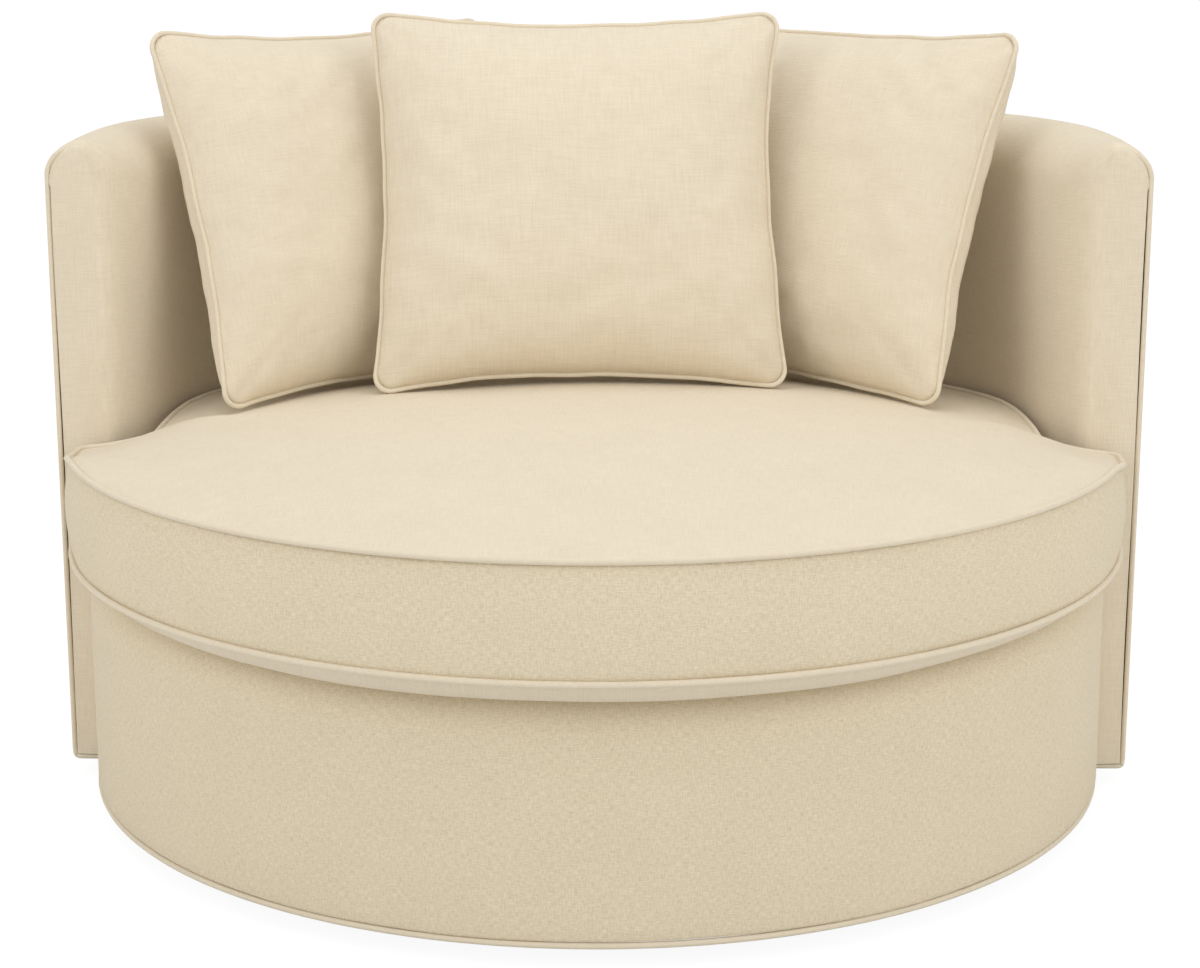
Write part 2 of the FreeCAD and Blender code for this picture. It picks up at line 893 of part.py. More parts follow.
def cushion_form(inset):
    """Crowned cushion: a domed top, a bulging band and a rounded underside."""
    lower = cushion_lower_welt + inset
    upper = cushion_upper_welt - inset
    bottom = deck_height + cushion_clearance + inset
    top = []
    for scale in (1.0, 0.96, 0.88, 0.76, 0.6, 0.42, 0.22, 0.04):
        rise = cushion_crown * (1 - scale ** 2) ** cushion_crown_power
        top.append(cushion_slice(inset, scale, upper + rise))
    bulge = cushion_band_bulge / cushion_radius
    band = []
    for part in (0.0, 0.2, 0.5, 0.8, 1.0):
        scale = 1 + bulge * (1 - (2 * part - 1) ** 2)
        band.append(cushion_slice(inset, scale, lower + part * (upper - lower)))
    under = []
    for scale, drop in ((1.0, 0.0), (0.985, 0.34), (0.96, 0.66), (0.93, 0.88), (0.89, 0.98), (0.84, 1.0)):
        under.append(cushion_slice(inset, scale, lower - drop * (lower - bottom)))
    solids = [Part.makeLoft(list(reversed(under)), True, False), Part.makeLoft(band, True, False)]
    solids.append(Part.makeLoft(top, True, False))
    return solids[0].fuse(solids[1:])


def seat_cushion_cover():
    return cushion_form(0).cut(cushion_form(cloth))


def seat_cushion_wrap():
    return cushion_form(cloth_back).cut(cushion_form(cloth_back + cushion_wrap))


def seat_cushion_core():
    return cushion_form(cloth_back + cushion_wrap + layer_gap)


def cushion_welt_ring(z):
    path = cushion_outline(-(cushion_welt / 2 + layer_gap), z)
    return tube(path, cushion_welt)


def zip_arc(inner, outer, z0, z1, half_angle):
    face = face_of([vec(inner, 0, z0), vec(outer, 0, z0), vec(outer, 0, z1), vec(inner, 0, z1)])
    face.rotate(vec(0, 0, 0), z_axis, 90 - half_angle)
    face.translate(vec(0, back_y, 0))
    return face.revolve(vec(0, back_y, 0), z_axis, 2 * half_angle)


def zip_radius():
    return back_radius - wall - cushion_gap + cushion_band_bulge + 0.2


def seat_zip_tape():
    middle = (cushion_lower_welt + cushion_upper_welt) / 2
    inner = zip_radius()
    outer = inner + zip_tape_thickness
    return zip_arc(inner, outer, middle - zip_width / 2, middle + zip_width / 2, zip_half_angle)


def seat_zip_slider():
    middle = (cushion_lower_welt + cushion_upper_welt) / 2
    inner = zip_radius() + zip_tape_thickness + layer_gap
    half = math.degrees(zip_slider_length / 2 / inner)
    outer = inner + zip_slider_thickness
    return zip_arc(inner, outer, middle - zip_slider_width / 2, middle + zip_slider_width / 2, half)


# Back pillows, drawn flat: u across, v up from the bottom corners, w through the thickness

def pillow_outline(width, height, inset, scale, w):
    """Square with drawn-in sides: small round corners joined by hollow arcs."""
    corner = pillow_corner - inset
    a = width / 2 - pillow_corner
    b = height / 2 - pillow_corner
    half = math.sqrt(0.5)

    def hollow(span):
        """Hollow side tangent to both corner arcs: how far out its centre lies, and its radius."""
        centre = (span ** 2 - pillow_pinch ** 2) / (2 * pillow_pinch)
        return centre, centre + pillow_pinch - pillow_corner + inset

    bottom_centre, bottom_radius = hollow(a)
    side_centre, edge_radius = hollow(b)

    def place(u, v):
        return vec(u * scale, v * scale + height / 2, w)

    def towards(cu, cv, ou, ov, distance):
        length = math.hypot(ou - cu, ov - cv)
        return place(cu + (ou - cu) * distance / length, cv + (ov - cv) * distance / length)

    corners = [(a, -b), (a, b), (-a, b), (-a, -b)]
    steps = []
    for i, (cu, cv) in enumerate(corners):
        before = (0.0, cv + math.copysign(bottom_centre, cv))
        after = (cu + math.copysign(side_centre, cu), 0.0)
        if i % 2:
            before, after = after, before
        enter = towards(cu, cv, before[0], before[1], corner)
        leave = towards(cu, cv, after[0], after[1], corner)
        middle = place(cu + math.copysign(corner * half, cu), cv + math.copysign(corner * half, cv))
        if not steps:
            steps.append(enter)
        else:
            if i % 2:
                previous = place(math.copysign(a + side_centre - edge_radius, cu), 0.0)
            else:
                previous = place(0.0, math.copysign(b + bottom_centre - bottom_radius, cv))
            steps.append((previous, enter))
        steps.append((middle, leave))
    steps.append((place(0.0, -(b + bottom_centre - bottom_radius)), steps[0]))
    return Part.Wire(outline_edges(steps))


def pillow_form(width, height, thickness, inset):
    """Stuffed pillow: two domed halves that meet in a knife edge at the seam."""
    half = thickness / 2 - inset
    seam = inset * pillow_seam_slant
    halves = []
    for side in (1, -1):
        wires = []
        for scale in (1.0, 0.985, 0.94, 0.86, 0.74, 0.6, 0.45, 0.3, 0.15):
            rise = half * (1 - scale ** 2.6) ** 0.62
            wires.append(pillow_outline(width, height, seam, scale, side * rise))
        halves.append(Part.makeLoft(wires, True, False))
    return halves[0].fuse(halves[1])


def pillow_places():
    """Size of each pillow, the middle of its bottom edge, and its turn about the vertical."""
    side = (side_pillow_width, side_pillow_height, side_pillow_thickness)
    middle = (centre_pillow_width, centre_pillow_height, centre_pillow_thickness)
    crown = cushion_upper_welt + cushion_crown
    left_x = left_pillow_inset - half_width + wall
    right_x = half_width - wall - right_pillow_inset
    return {
        "centre": (middle, (centre_pillow_x, centre_pillow_y, crown - centre_pillow_drop), centre_pillow_yaw),
        "left": (side, (left_x, left_pillow_y, crown - left_pillow_drop), side_pillow_yaw),
        "right": (side, (right_x, right_pillow_y, crown - right_pillow_drop), -side_pillow_yaw),
    }


def placed_pillow(shape, name):
    """Stand the flat drawing up, lean it back, turn it and set it on the seat."""
    spot, yaw = pillow_places()[name][1:]
    shape.rotate(vec(0, 0, 0), vec(1, 0, 0), 90 - pillow_lean)
    shape.rotate(vec(0, 0, 0), z_axis, yaw)
    shape.translate(vec(spot[0], spot[1] + arm_front, spot[2]))
    return shape


def pillow_cover(name):
    width, height, thickness = pillow_places()[name][0]
    outer = pillow_form(width, height, thickness, 0)
    return placed_pillow(outer.cut(pillow_form(width, height, thickness, pillow_cloth)), name)


def pillow_insert(name):
    width, height, thickness = pillow_places()[name][0]
    return placed_pillow(pillow_form(width, height, thickness, pillow_cloth + 2 * layer_gap), name)


def pillow_welt_ring(name):
    width, height, thickness = pillow_places()[name][0]
    path = pillow_outline(width, height, -(pillow_welt / 2 + layer_gap), 1.0, 0)
    return placed_pillow(tube(path, pillow_welt), name)


def all_parts():
    parts = {
        "floor_glides": floor_glides(),
        "plinth_board": plinth_board(),
        "swivel_lower_race": swivel_lower_race(),
        "lower_race_screws": lower_race_screws(),
        "ball_cage": ball_cage(),
        "bearing_balls": bearing_balls(),
        "swivel_upper_race": swivel_upper_race(),
        "upper_race_screws": upper_race_screws(),
        "swivel_mount_board": swivel_mount_board(),
        "swivel_cross_rails": swivel_cross_rails(),
        "frame_bolts": frame_bolts(),
        "base_bottom_board": base_bottom_board(),
        "base_posts": base_posts(),
        "corner_blocks": corner_blocks(),
        "seat_board": seat_board(),
        "dust_cover": dust_cover(),
        "seat_springs": seat_springs(),
        "spring_clips": spring_clips(),
        "spring_tie_wires": spring_tie_wires(),
        "deck_felt": deck_felt(),
        "deck_cover": deck_cover(),
        "base_front_panel": base_front_panel(),
        "base_front_padding": base_front_padding(),
        "base_front_cover": base_front_cover(),
        "base_bottom_welt": base_bottom_welt(),
        "shell_bottom_rail": shell_bottom_rail(),
        "shell_top_rail": shell_top_rail(),
        "shell_uprights": shell_uprights(),
        "arm_front_board_right": arm_front_board(),
        "arm_front_board_left": mirrored(arm_front_board()),
        "back_webbing": back_webbing(),
        "outside_board": outside_board(),
        "shell_padding": shell_padding(),
        "shell_inside_cover": shell_inside_cover(),
        "shell_outside_cover": shell_outside_cover(),
        "shell_front_welt_right": shell_front_welt(),
        "shell_front_welt_left": mirrored(shell_front_welt()),
        "shell_bottom_welt": shell_bottom_welt(),
        "seat_cushion_cover": seat_cushion_cover(),
        "seat_cushion_wrap": seat_cushion_wrap(),
        "seat_cushion_core": seat_cushion_core(),
        "seat_welt_upper": cushion_welt_ring(cushion_upper_welt),
        "seat_welt_lower": cushion_welt_ring(cushion_lower_welt),
        "seat_zip_tape": seat_zip_tape(),
        "seat_zip_slider": seat_zip_slider(),
    }
    for name in ("left", "centre", "right"):
        parts["pillow_cover_" + name] = pillow_cover(name)
        parts["pillow_insert_" + name] = pillow_insert(name)
        parts["pillow_welt_" + name] = pillow_welt_ring(name)
    return parts


os.makedirs("parts", exist_ok=True)
for part_name, part_shape in all_parts().items():
    part_shape.exportStep("parts/" + part_name + ".step")
    volume = round(part_shape.Volume / 1000)
    print(part_name, len(part_shape.Solids), "solids", volume, "cm3", part_shape.isValid())
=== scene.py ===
import math

import bmesh
import bpy
import numpy as np
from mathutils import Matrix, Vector, noise


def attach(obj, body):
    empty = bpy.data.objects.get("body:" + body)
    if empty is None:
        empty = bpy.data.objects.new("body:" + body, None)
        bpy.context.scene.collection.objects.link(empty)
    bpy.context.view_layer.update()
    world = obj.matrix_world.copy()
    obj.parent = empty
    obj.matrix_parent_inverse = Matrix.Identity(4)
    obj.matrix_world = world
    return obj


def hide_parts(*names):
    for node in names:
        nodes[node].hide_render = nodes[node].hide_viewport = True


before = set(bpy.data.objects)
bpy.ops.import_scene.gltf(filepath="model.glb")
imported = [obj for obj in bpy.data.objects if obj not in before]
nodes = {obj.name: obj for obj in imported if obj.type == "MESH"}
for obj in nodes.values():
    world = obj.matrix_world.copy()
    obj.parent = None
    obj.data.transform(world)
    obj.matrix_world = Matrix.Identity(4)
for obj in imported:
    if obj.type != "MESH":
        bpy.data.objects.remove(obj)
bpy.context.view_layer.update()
scene = bpy.context.scene
noise.seed_set(7)  # noise_vector would otherwise differ from run to run
print("frame loaded:", len(nodes), "nodes")

# Camera first: where the photograph was taken from, in metres and degrees
cameraSet = {
    "place": (0.0848, -2.8767, 1.0666),
    "turn": 1.66,
    "down": 13.52,
    "lens": 78.0,
    "shift": 0.0034,
}
camera = bpy.data.objects.new("camera", bpy.data.cameras.new("camera"))
scene.collection.objects.link(camera)
camera.location = cameraSet["place"]
camera.rotation_euler = (math.radians(90 - cameraSet["down"]), 0, math.radians(cameraSet["turn"]))
camera.data.lens = cameraSet["lens"]
camera.data.sensor_width = 36
camera.data.shift_x = cameraSet["shift"]
camera.data.clip_end = 100
scene.camera = camera
print("camera set")


# Materials
class Wire:
    def __init__(self, paint, socket):
        self.paint = paint
        self.socket = socket

    def other(self, name):
        return Wire(self.paint, self.socket.node.outputs[name])

    def mathNode(self, operation, first, second=0.0):
        return self.paint.node("ShaderNodeMath", {"operation": operation}, {0: first, 1: second})

    def __add__(self, value):
        return self.mathNode("ADD", self, value)

    def __radd__(self, value):
        return self.mathNode("ADD", value, self)

    def __sub__(self, value):
        return self.mathNode("SUBTRACT", self, value)

    def __rsub__(self, value):
        return self.mathNode("SUBTRACT", value, self)

    def __mul__(self, value):
        return self.mathNode("MULTIPLY", self, value)

    def __rmul__(self, value):
        return self.mathNode("MULTIPLY", value, self)

    def __abs__(self):
        return self.mathNode("ABSOLUTE", self)


class Paint:
    def __init__(self, name, **fixed):
        self.material = bpy.data.materials.new(name)
        self.material.use_nodes = True
        self.tree = self.material.node_tree
        self.shader = next(n for n in self.tree.nodes if n.type == "BSDF_PRINCIPLED")
        for label, value in fixed.items():
            self.put(self.shader.inputs[label.replace("_", " ")], value)

    def put(self, socket, value):
        if isinstance(value, Wire):
            self.tree.links.new(value.socket, socket)
        elif hasattr(value, "__len__") and socket.type == "RGBA":
            socket.default_value = (*value[:3], 1)
        else:
            socket.default_value = value

    def node(self, kind, settings=None, inputs=None, output=0):
        made = self.tree.nodes.new(kind)
        for label, value in (settings or {}).items():
            setattr(made, label, value)
        for label, value in (inputs or {}).items():
            self.put(made.inputs[label], value)
        return Wire(self, made.outputs[output])

    def feed(self, label, wire):
        self.put(self.shader.inputs[label], wire)

    def vector(self, x, y, z=0.0):
        return self.node("ShaderNodeCombineXYZ", {}, {0: x, 1: y, 2: z})

    def noiseOf(self, vector, scale, detail=2.0, rough=0.5):
        inputs = {"Vector": vector, "Scale": scale, "Detail": detail, "Roughness": rough}
        return self.node("ShaderNodeTexNoise", {}, inputs)

    def blend(self, mask, first, second):
        return self.node("ShaderNodeMix", {"data_type": "RGBA"}, {0: mask, 6: first, 7: second}, 2)

    def bump(self, height, distance, strength=1.0):
        inputs = {"Height": height, "Distance": distance, "Strength": strength}
        return self.node("ShaderNodeBump", {}, inputs)


clothLook = {
    "dark": (0.70, 0.605, 0.455),
    "light": (0.86, 0.765, 0.60),
    "threads": 640.0,  # per metre
    "slubWidth": 620.0,
    "slubLength": 42.0,
    "slub": 0.62,
    "grain": 0.22,
    "depth": 0.0005,
}


def wovenPaint(name, look):
    paint = Paint(name, Roughness=0.86, Specular_IOR_Level=0.22, Sheen_Weight=0.12, Sheen_Roughness=0.5)
    place = paint.node("ShaderNodeAttribute", {"attribute_name": "weave"}, {}, "Vector")
    split = paint.node("ShaderNodeSeparateXYZ", {}, {0: place})
    u, v, patch = split, split.other("Y"), split.other("Z")
    wander = paint.noiseOf(paint.vector(u * 30, v * 30, patch), 1.0, 1.0) - 0.5
    a = (u + wander * 0.004) * look["threads"]
    b = (v + wander * 0.004) * look["threads"]
    warp = a.mathNode("SINE", a * math.pi)
    weft = b.mathNode("SINE", b * math.pi)
    over = warp * weft * 0.5 + 0.5  # which thread lies on top
    threads = abs(warp) * over + abs(weft) * (1.0 - over)
    thin, drawn = look["slubWidth"], look["slubLength"]
    slubUp = paint.noiseOf(paint.vector(u * thin, v * drawn, patch), 1.0, 1.0)
    slubAcross = paint.noiseOf(paint.vector(u * drawn, v * thin, patch + 9.0), 1.0, 1.0)
    cloud = paint.noiseOf(paint.vector(u * 14, v * 14, patch), 1.0, 2.0)
    slubs = slubUp + slubAcross - 1.0
    tone = 0.5 + slubs * look["slub"] + (threads - 0.6) * look["grain"] + (cloud - 0.5) * 0.25
    tone = paint.node("ShaderNodeClamp", {}, {0: tone})
    paint.feed("Base Color", paint.blend(tone, look["dark"], look["light"]))
    height = threads * 0.7 + slubs * 0.6
    paint.feed("Normal", paint.bump(height, look["depth"], 0.6))
    return paint.material


coverCloth = wovenPaint("coverCloth", clothLook)
pipingCloth = wovenPaint("pipingCloth", dict(clothLook, slub=0.4, grain=0.3))
# shaded copy of the cover cloth for upright faces (drum, cushion band): its darker colours are painted
# shade, and its stronger slub contrast is painted raking light from above
shadedUprightLook = dict(clothLook, slub=1.5, grain=0.3, slubWidth=760.0, slubLength=150.0, depth=0.0006)
shadedUprightLook.update(dark=(0.685, 0.585, 0.41), light=(0.85, 0.745, 0.555))
shadedUprightCloth = wovenPaint("shadedUprightCloth", shadedUprightLook)
print("cloth ready")


def steelPaint(name, tone, rough):
    paint = Paint(name, Metallic=1.0)
    place = paint.node("ShaderNodeTexCoord", {}, {}, "Object")
    fleck = paint.noiseOf(place, 260.0, 3.0)
    smear = paint.noiseOf(place, 22.0, 3.0)
    paint.feed("Base Color", paint.blend(fleck * 0.6 + smear * 0.4, [c * 0.8 for c in tone], tone))
    paint.feed("Roughness", smear * 0.2 + (rough - 0.1))
    paint.feed("Normal", paint.bump(fleck, 0.0002, 0.3))
    return paint.material


def woodPaint(name, dark, light, ringScale, grainScale, gloss=0.6):
    paint = Paint(name, Specular_IOR_Level=0.3)
    place = paint.node("ShaderNodeTexCoord", {}, {}, "Object")
    split = paint.node("ShaderNodeSeparateXYZ", {}, {0: place})
    x, y, z = split, split.other("Y"), split.other("Z")
    swirl = paint.noiseOf(place, 6.0, 2.0)
    rings = x.mathNode("SINE", (x + z * 0.6 + swirl * 0.06) * ringScale)
    pores = paint.noiseOf(paint.vector(x * grainScale, y * grainScale * 0.08, z * grainScale), 1.0, 3.0)
    tone = paint.node("ShaderNodeClamp", {}, {0: rings * 0.22 + pores * 0.6 + 0.15})
    paint.feed("Base Color", paint.blend(tone, dark, light))
    paint.feed("Roughness", pores * 0.2 + (gloss - 0.1))
    paint.feed("Normal", paint.bump(pores, 0.0004, 0.5))
    return paint.material


def feltPaint(name, dark, light, scale, depth=0.0008):
    paint = Paint(name, Roughness=0.95, Specular_IOR_Level=0.1)
    place = paint.node("ShaderNodeTexCoord", {}, {}, "Object")
    fibre = paint.noiseOf(place, scale, 6.0, 0.7)
    clump = paint.noiseOf(place, scale / 12, 3.0)
    paint.feed("Base Color", paint.blend(fibre * 0.7 + clump * 0.3, dark, light))
    paint.feed("Normal", paint.bump(fibre, depth, 0.7))
    return paint.material


def plasticPaint(name, tone):
    paint = Paint(name, Specular_IOR_Level=0.4)
    place = paint.node("ShaderNodeTexCoord", {}, {}, "Object")
    grain = paint.noiseOf(place, 700.0, 2.0)
    scuff = paint.noiseOf(place, 30.0, 4.0)
    paint.feed("Base Color", paint.blend(scuff, tone, [c * 1.7 + 0.01 for c in tone]))
    paint.feed("Roughness", scuff * 0.25 + 0.35)
    paint.feed("Normal", paint.bump(grain, 0.0002, 0.4))
    return paint.material


finishes = {
    "foam": feltPaint("foamBlock", (0.78, 0.72, 0.50), (0.90, 0.86, 0.66), 320.0),
    "fibre_fill": feltPaint("fibreFill", (0.80, 0.80, 0.78), (0.93, 0.93, 0.91), 180.0, 0.002),
    "felt": feltPaint("feltPad", (0.16, 0.15, 0.14), (0.34, 0.33, 0.31), 240.0),
    "webbing": feltPaint("juteStrap", (0.30, 0.22, 0.12), (0.48, 0.38, 0.24), 420.0),
    "dust_cloth": feltPaint("dustCloth", (0.010, 0.010, 0.011), (0.03, 0.03, 0.032), 500.0, 0.0003),
    "plywood": woodPaint("birchPly", (0.52, 0.36, 0.19), (0.74, 0.57, 0.36), 160.0, 420.0),
    "hardwood": woodPaint("frameTimber", (0.34, 0.20, 0.09), (0.56, 0.38, 0.20), 90.0, 300.0),
    "fibreboard": feltPaint("hardBoard", (0.17, 0.10, 0.05), (0.27, 0.17, 0.09), 380.0, 0.0003),
    "spring_steel": steelPaint("springWire", (0.24, 0.25, 0.27), 0.42),
    "zinc_steel": steelPaint("zincPlate", (0.60, 0.62, 0.66), 0.34),
    "glide_plastic": plasticPaint("glidePlastic", (0.012, 0.012, 0.012)),
}
for name, node in nodes.items():
    for place in node.material_slots:
        slotName = place.material.name.split(".")[0] if place.material else ""
        place.material = finishes.get(slotName, coverCloth)
print("frame nodes painted")


# Plan of the chair, in metres: a round shell open to the front, on a drum
chair = {
    "width": 1.25,
    "depth": 0.52,
    "sideRadius": 0.43,
    "armStraight": 0.010,
    "armFront": 0.0458,
    "wall": 0.105,
    "rim": 0.766,
    "rimOuter": 0.045,
    "rimInner": 0.058,
    "armEdge": 0.050,
    "deck": 0.284,
    "hem": 0.0286,
    "skirt": 0.022,
}
halfWidth = chair["width"] / 2
sideRadius = chair["sideRadius"]
archX = halfWidth - sideRadius
archY = chair["armFront"] + chair["armStraight"]
archRise = chair["depth"] - chair["armStraight"]
backRadius = (archX ** 2 + archRise ** 2 - sideRadius ** 2) / (2 * (archRise - sideRadius))
backY = archY + archRise - backRadius
joinTurn = math.atan2(archY - backY, archX)
sideLength = sideRadius * joinTurn
backLength = backRadius * (math.pi - 2 * joinTurn)
archLength = 2 * (chair["armStraight"] + sideLength) + backLength


def archPlace(length):
    # a place on the outside face and the way inward, at that length round from the right arm
    mirror = length > archLength / 2
    along = archLength - length if mirror else length
    if along < chair["armStraight"]:
        spot, turn = (halfWidth, chair["armFront"] + along), 0.0
    elif along < chair["armStraight"] + sideLength:
        turn = (along - chair["armStraight"]) / sideRadius
        spot = (archX + sideRadius * math.cos(turn), archY + sideRadius * math.sin(turn))
    else:
        turn = joinTurn + (along - chair["armStraight"] - sideLength) / backRadius
        spot = (backRadius * math.cos(turn), backY + backRadius * math.sin(turn))
    side = -1 if mirror else 1
    return side * spot[0], spot[1], -side * math.cos(turn), -math.sin(turn)


def spaced(start, end, step):
    count = max(1, int(round(abs(end - start) / step)))
    return [start + (end - start) * i / count for i in range(count + 1)]


def smooth(value, low, high):
    t = min(1.0, max(0.0, (value - low) / (high - low)))
    return t * t * (3 - 2 * t)


class Sheet:
    # a patchwork of grids, joined where their edges meet
    def __init__(self):
        self.points, self.faces, self.weave, self.slots = [], [], [], []

    def grid(self, rows, across, up, patch=0.0, slot=0, keep=None):
        # rows is a grid of places; across and up are the cloth's own measures at each
        rows = np.asarray(rows, dtype=float)
        height, width = rows.shape[:2]
        index = len(self.points) + np.arange(height * width).reshape(height, width)
        self.points.extend(rows.reshape(-1, 3).tolist())
        measure = np.stack([
            np.broadcast_to(across, (height, width)),
            np.broadcast_to(up, (height, width)),
            np.full((height, width), float(patch)),
        ], -1)
        kept = np.ones((height - 1, width - 1), bool) if keep is None else keep

        def quads(values):
            return np.stack([values[:-1, :-1], values[:-1, 1:], values[1:, 1:], values[1:, :-1]], 2)[kept]

        self.faces.extend(quads(index).tolist())
        self.weave.extend(quads(measure).reshape(-1, 3).tolist())
        self.slots.extend([slot] * int(kept.sum()))

    def made(self, name, paints=None, weld=0.0002):
        mesh = bpy.data.meshes.new(name)
        mesh.from_pydata(self.points, [], self.faces)
        for paint in paints or [coverCloth]:
            mesh.materials.append(paint)
        mesh.polygons.foreach_set("use_smooth", [True] * len(mesh.polygons))
        mesh.polygons.foreach_set("material_index", self.slots)
        layer = mesh.attributes.new("weave", "FLOAT_VECTOR", "CORNER")
        layer.data.foreach_set("vector", np.asarray(self.weave, dtype=np.float32).ravel())
        work = bmesh.new()
        work.from_mesh(mesh)
        bmesh.ops.remove_doubles(work, verts=work.verts, dist=weld)
        bmesh.ops.delete(work, geom=[v for v in work.verts if not v.link_faces], context="VERTS")
        work.to_mesh(mesh)
        work.free()
        piece = bpy.data.objects.new(name, mesh)
        scene.collection.objects.link(piece)
        return piece


def measureAlong(points):
    steps = np.linalg.norm(np.diff(np.asarray(points, dtype=float), axis=0), axis=1)
    return np.concatenate([[0.0], np.cumsum(steps)])


def placesOf(mesh):
    places = np.empty(len(mesh.vertices) * 3)
    mesh.vertices.foreach_get("co", places)
    return places.reshape(-1, 3)


def movePlaces(mesh, places):
    mesh.vertices.foreach_set("co", np.asarray(places).ravel())
    mesh.update()


def ripple(piece, amount, size, seed, stretch=(1, 1, 1)):
    # gentle unevenness across the surface
    mesh = piece.data
    normals = np.empty(len(mesh.vertices) * 3)
    mesh.vertex_normals.foreach_get("vector", normals)
    places = placesOf(mesh)
    scaled = places / (np.asarray(stretch) * size) + np.array([seed, 0, 0])
    shift = np.array([noise.noise(Vector(p)) for p in scaled])
    movePlaces(mesh, places + normals.reshape(-1, 3) * (shift * amount)[:, None])


def cord(name, path, radius, axis, closed=False, patch=0.0, rounds=12):
    # welt of self-covered cord along a path that lies flat across the axis
    path = np.asarray(path, dtype=float)
    if closed:
        path = np.vstack([path, path[:1]])
    count = len(path)
    radii = np.broadcast_to(np.asarray(radius, dtype=float), (count,)).copy()
    ahead = np.gradient(path, axis=0)
    if closed:
        ahead[0] = ahead[-1] = path[1] - path[-2]
    ahead /= np.linalg.norm(ahead, axis=1)[:, None]
    axis = np.asarray(axis, dtype=float)
    side = np.cross(axis, ahead)
    side /= np.linalg.norm(side, axis=1)[:, None]
    along = measureAlong(path)
    for i in range(count - 1 if closed else count):
        radii[i] *= 1 + 0.035 * noise.noise(Vector(path[i] * 60) + Vector((patch, 0, 0)))
    if closed:
        radii[-1] = radii[0]
    sheet = Sheet()
    turns = np.linspace(0, 2 * math.pi, rounds + 1)
    rows = [path + radii[:, None] * (math.cos(t) * side + math.sin(t) * axis) for t in turns]
    around = turns[:, None] * float(np.mean(radii))
    sheet.grid(rows, (along[None, :] + around) * 0.7071, (along[None, :] - around) * 0.7071, patch)
    if not closed:
        for end in (0, -1):
            ring = np.array([row[end] for row in rows])
            rings = np.stack([ring, (ring + path[end]) / 2, np.broadcast_to(path[end], ring.shape)])
            sheet.grid(rings if end else rings[:, ::-1], around.T, np.zeros((3, 1)), patch)
    return sheet.made(name, [pipingCloth], weld=0.00005)


# Shell: the padded wall, its rim and the arm fronts in one cloth
shellSet = {
    "tuck": 0.0052,  # how far in the arm front's cloth meets the rolled seam
    "tuckRound": 0.0018,
    "tuckDepth": (0.0035, 0.0068),
    "frontPuff": 0.0016,
    "innerDepth": 0.13,  # the inner edge of the arm front rounds back slowly
    "droop": 0.008,  # the rim sinks a little towards the arm fronts
    "droopLength": 0.16,
    "topSoft": (0.009, 0.024),  # rounding of the front top edge, at the seam and at the inside
    "seamHeight": 0.721,
    "insideHem": 0.2685,  # the inside cloth ends under the seat, but for the arm fronts
    "frontColumns": 8,
    "spine": (0.031, 0.030),  # middle of the arm front, in from the outside and down from the top
    "tuckIn": (0.001, 0.006),
    "ripple": 0.0016,
    "outsideRipple": 0.0012,
}


def wallRows():
    # round the section: outside hem, over the rim, inside hem
    outer, inner = chair["rimOuter"], chair["rimInner"]
    rim, wall = chair["rim"], chair["wall"]
    heights = spaced(chair["hem"], 0.70, 0.0135)
    rows = [(0.0, z) for z in heights] + [(0.0, 0.711), (0.0, rim - outer)]
    for i in range(1, 11):
        turn = math.pi / 2 * i / 10
        rows.append((outer - outer * math.cos(turn), rim - outer + outer * math.sin(turn)))
    for i in range(0, 12):
        turn = math.pi / 2 * i / 12
        rows.append((wall - inner + inner * math.sin(turn), rim - inner + inner * math.cos(turn)))
    rows += [(wall, rim - inner)] + [(wall, z) for z in reversed(heights)]
    return rows


def quarter(radius, depth):
    # how far a rounded edge falls back at that depth behind the front
    return radius - math.sqrt(max(0.0, radius ** 2 - (radius - depth) ** 2)) if depth < radius else 0.0


def wallPoint(length, s, z):
    # where a place of the section comes to lie, with the arm fronts' edges rounded back
    x, y, nx, ny = archPlace(length)
    rim, hem, bend = chair["rim"], chair["hem"], chair["rimInner"]
    flat = chair["wall"] - bend
    depth = max(0.0, y + ny * s - chair["armFront"])
    tucked = shellSet["tuck"] * (1 - smooth(depth, *shellSet["tuckDepth"]))
    outerCut = tucked + quarter(shellSet["tuckRound"], depth)
    turnIn = max(0.0, 1 - depth / shellSet["innerDepth"])
    innerEnd = chair["wall"] - chair["armEdge"] * (1 - math.sqrt(1 - turnIn ** 2))
    seamSoft, insideSoft = shellSet["topSoft"]
    soft = seamSoft + (insideSoft - seamSoft) * smooth(s, 0.03, 0.08)
    if s > flat:
        share = max(0.02, (innerEnd - flat) / bend)
        tall = math.sqrt(share)
        s = flat + (s - flat) * share
        if z > rim - bend:
            z = rim - (rim - z) * tall
        else:
            z = hem + (z - hem) * (rim - bend * tall - hem) / (rim - bend - hem)
    else:
        s = outerCut + s * (flat - outerCut) / flat
    sunk = shellSet["droop"] * (1 - smooth(depth, 0, shellSet["droopLength"]))
    drop = quarter(soft, depth) + sunk
    z = hem + (z - hem) * (rim - drop - hem) / (rim - hem)
    return x + nx * s, y + ny * s, z


nearFront = [0, 0.0006, 0.002, 0.004, 0.0065, 0.0095, 0.013, 0.0175, 0.023, 0.030, 0.039, 0.050, 0.062]
lengths = nearFront + spaced(0.075, archLength - 0.075, 0.0125)
lengths += [archLength - a for a in reversed(nearFront)]
rows = wallRows()
rowMeasure = measureAlong([(0, s, z) for s, z in rows])
shell = Sheet()
wallGrid = np.array([[wallPoint(length, s, z) for length in lengths] for s, z in rows])
seamRow = next(i for i, (s, z) in enumerate(rows) if z >= shellSet["seamHeight"])
keep = np.ones((len(rows) - 1, len(lengths) - 1), bool)
keep[:seamRow] = False
for r in range(len(rows) - 1):
    if r > seamRow and rows[r][1] < shellSet["insideHem"]:
        keep[r, shellSet["frontColumns"]:-shellSet["frontColumns"]] = False
shell.grid(wallGrid, np.array(lengths)[None, :], rowMeasure[:, None], 0.0, keep=keep)
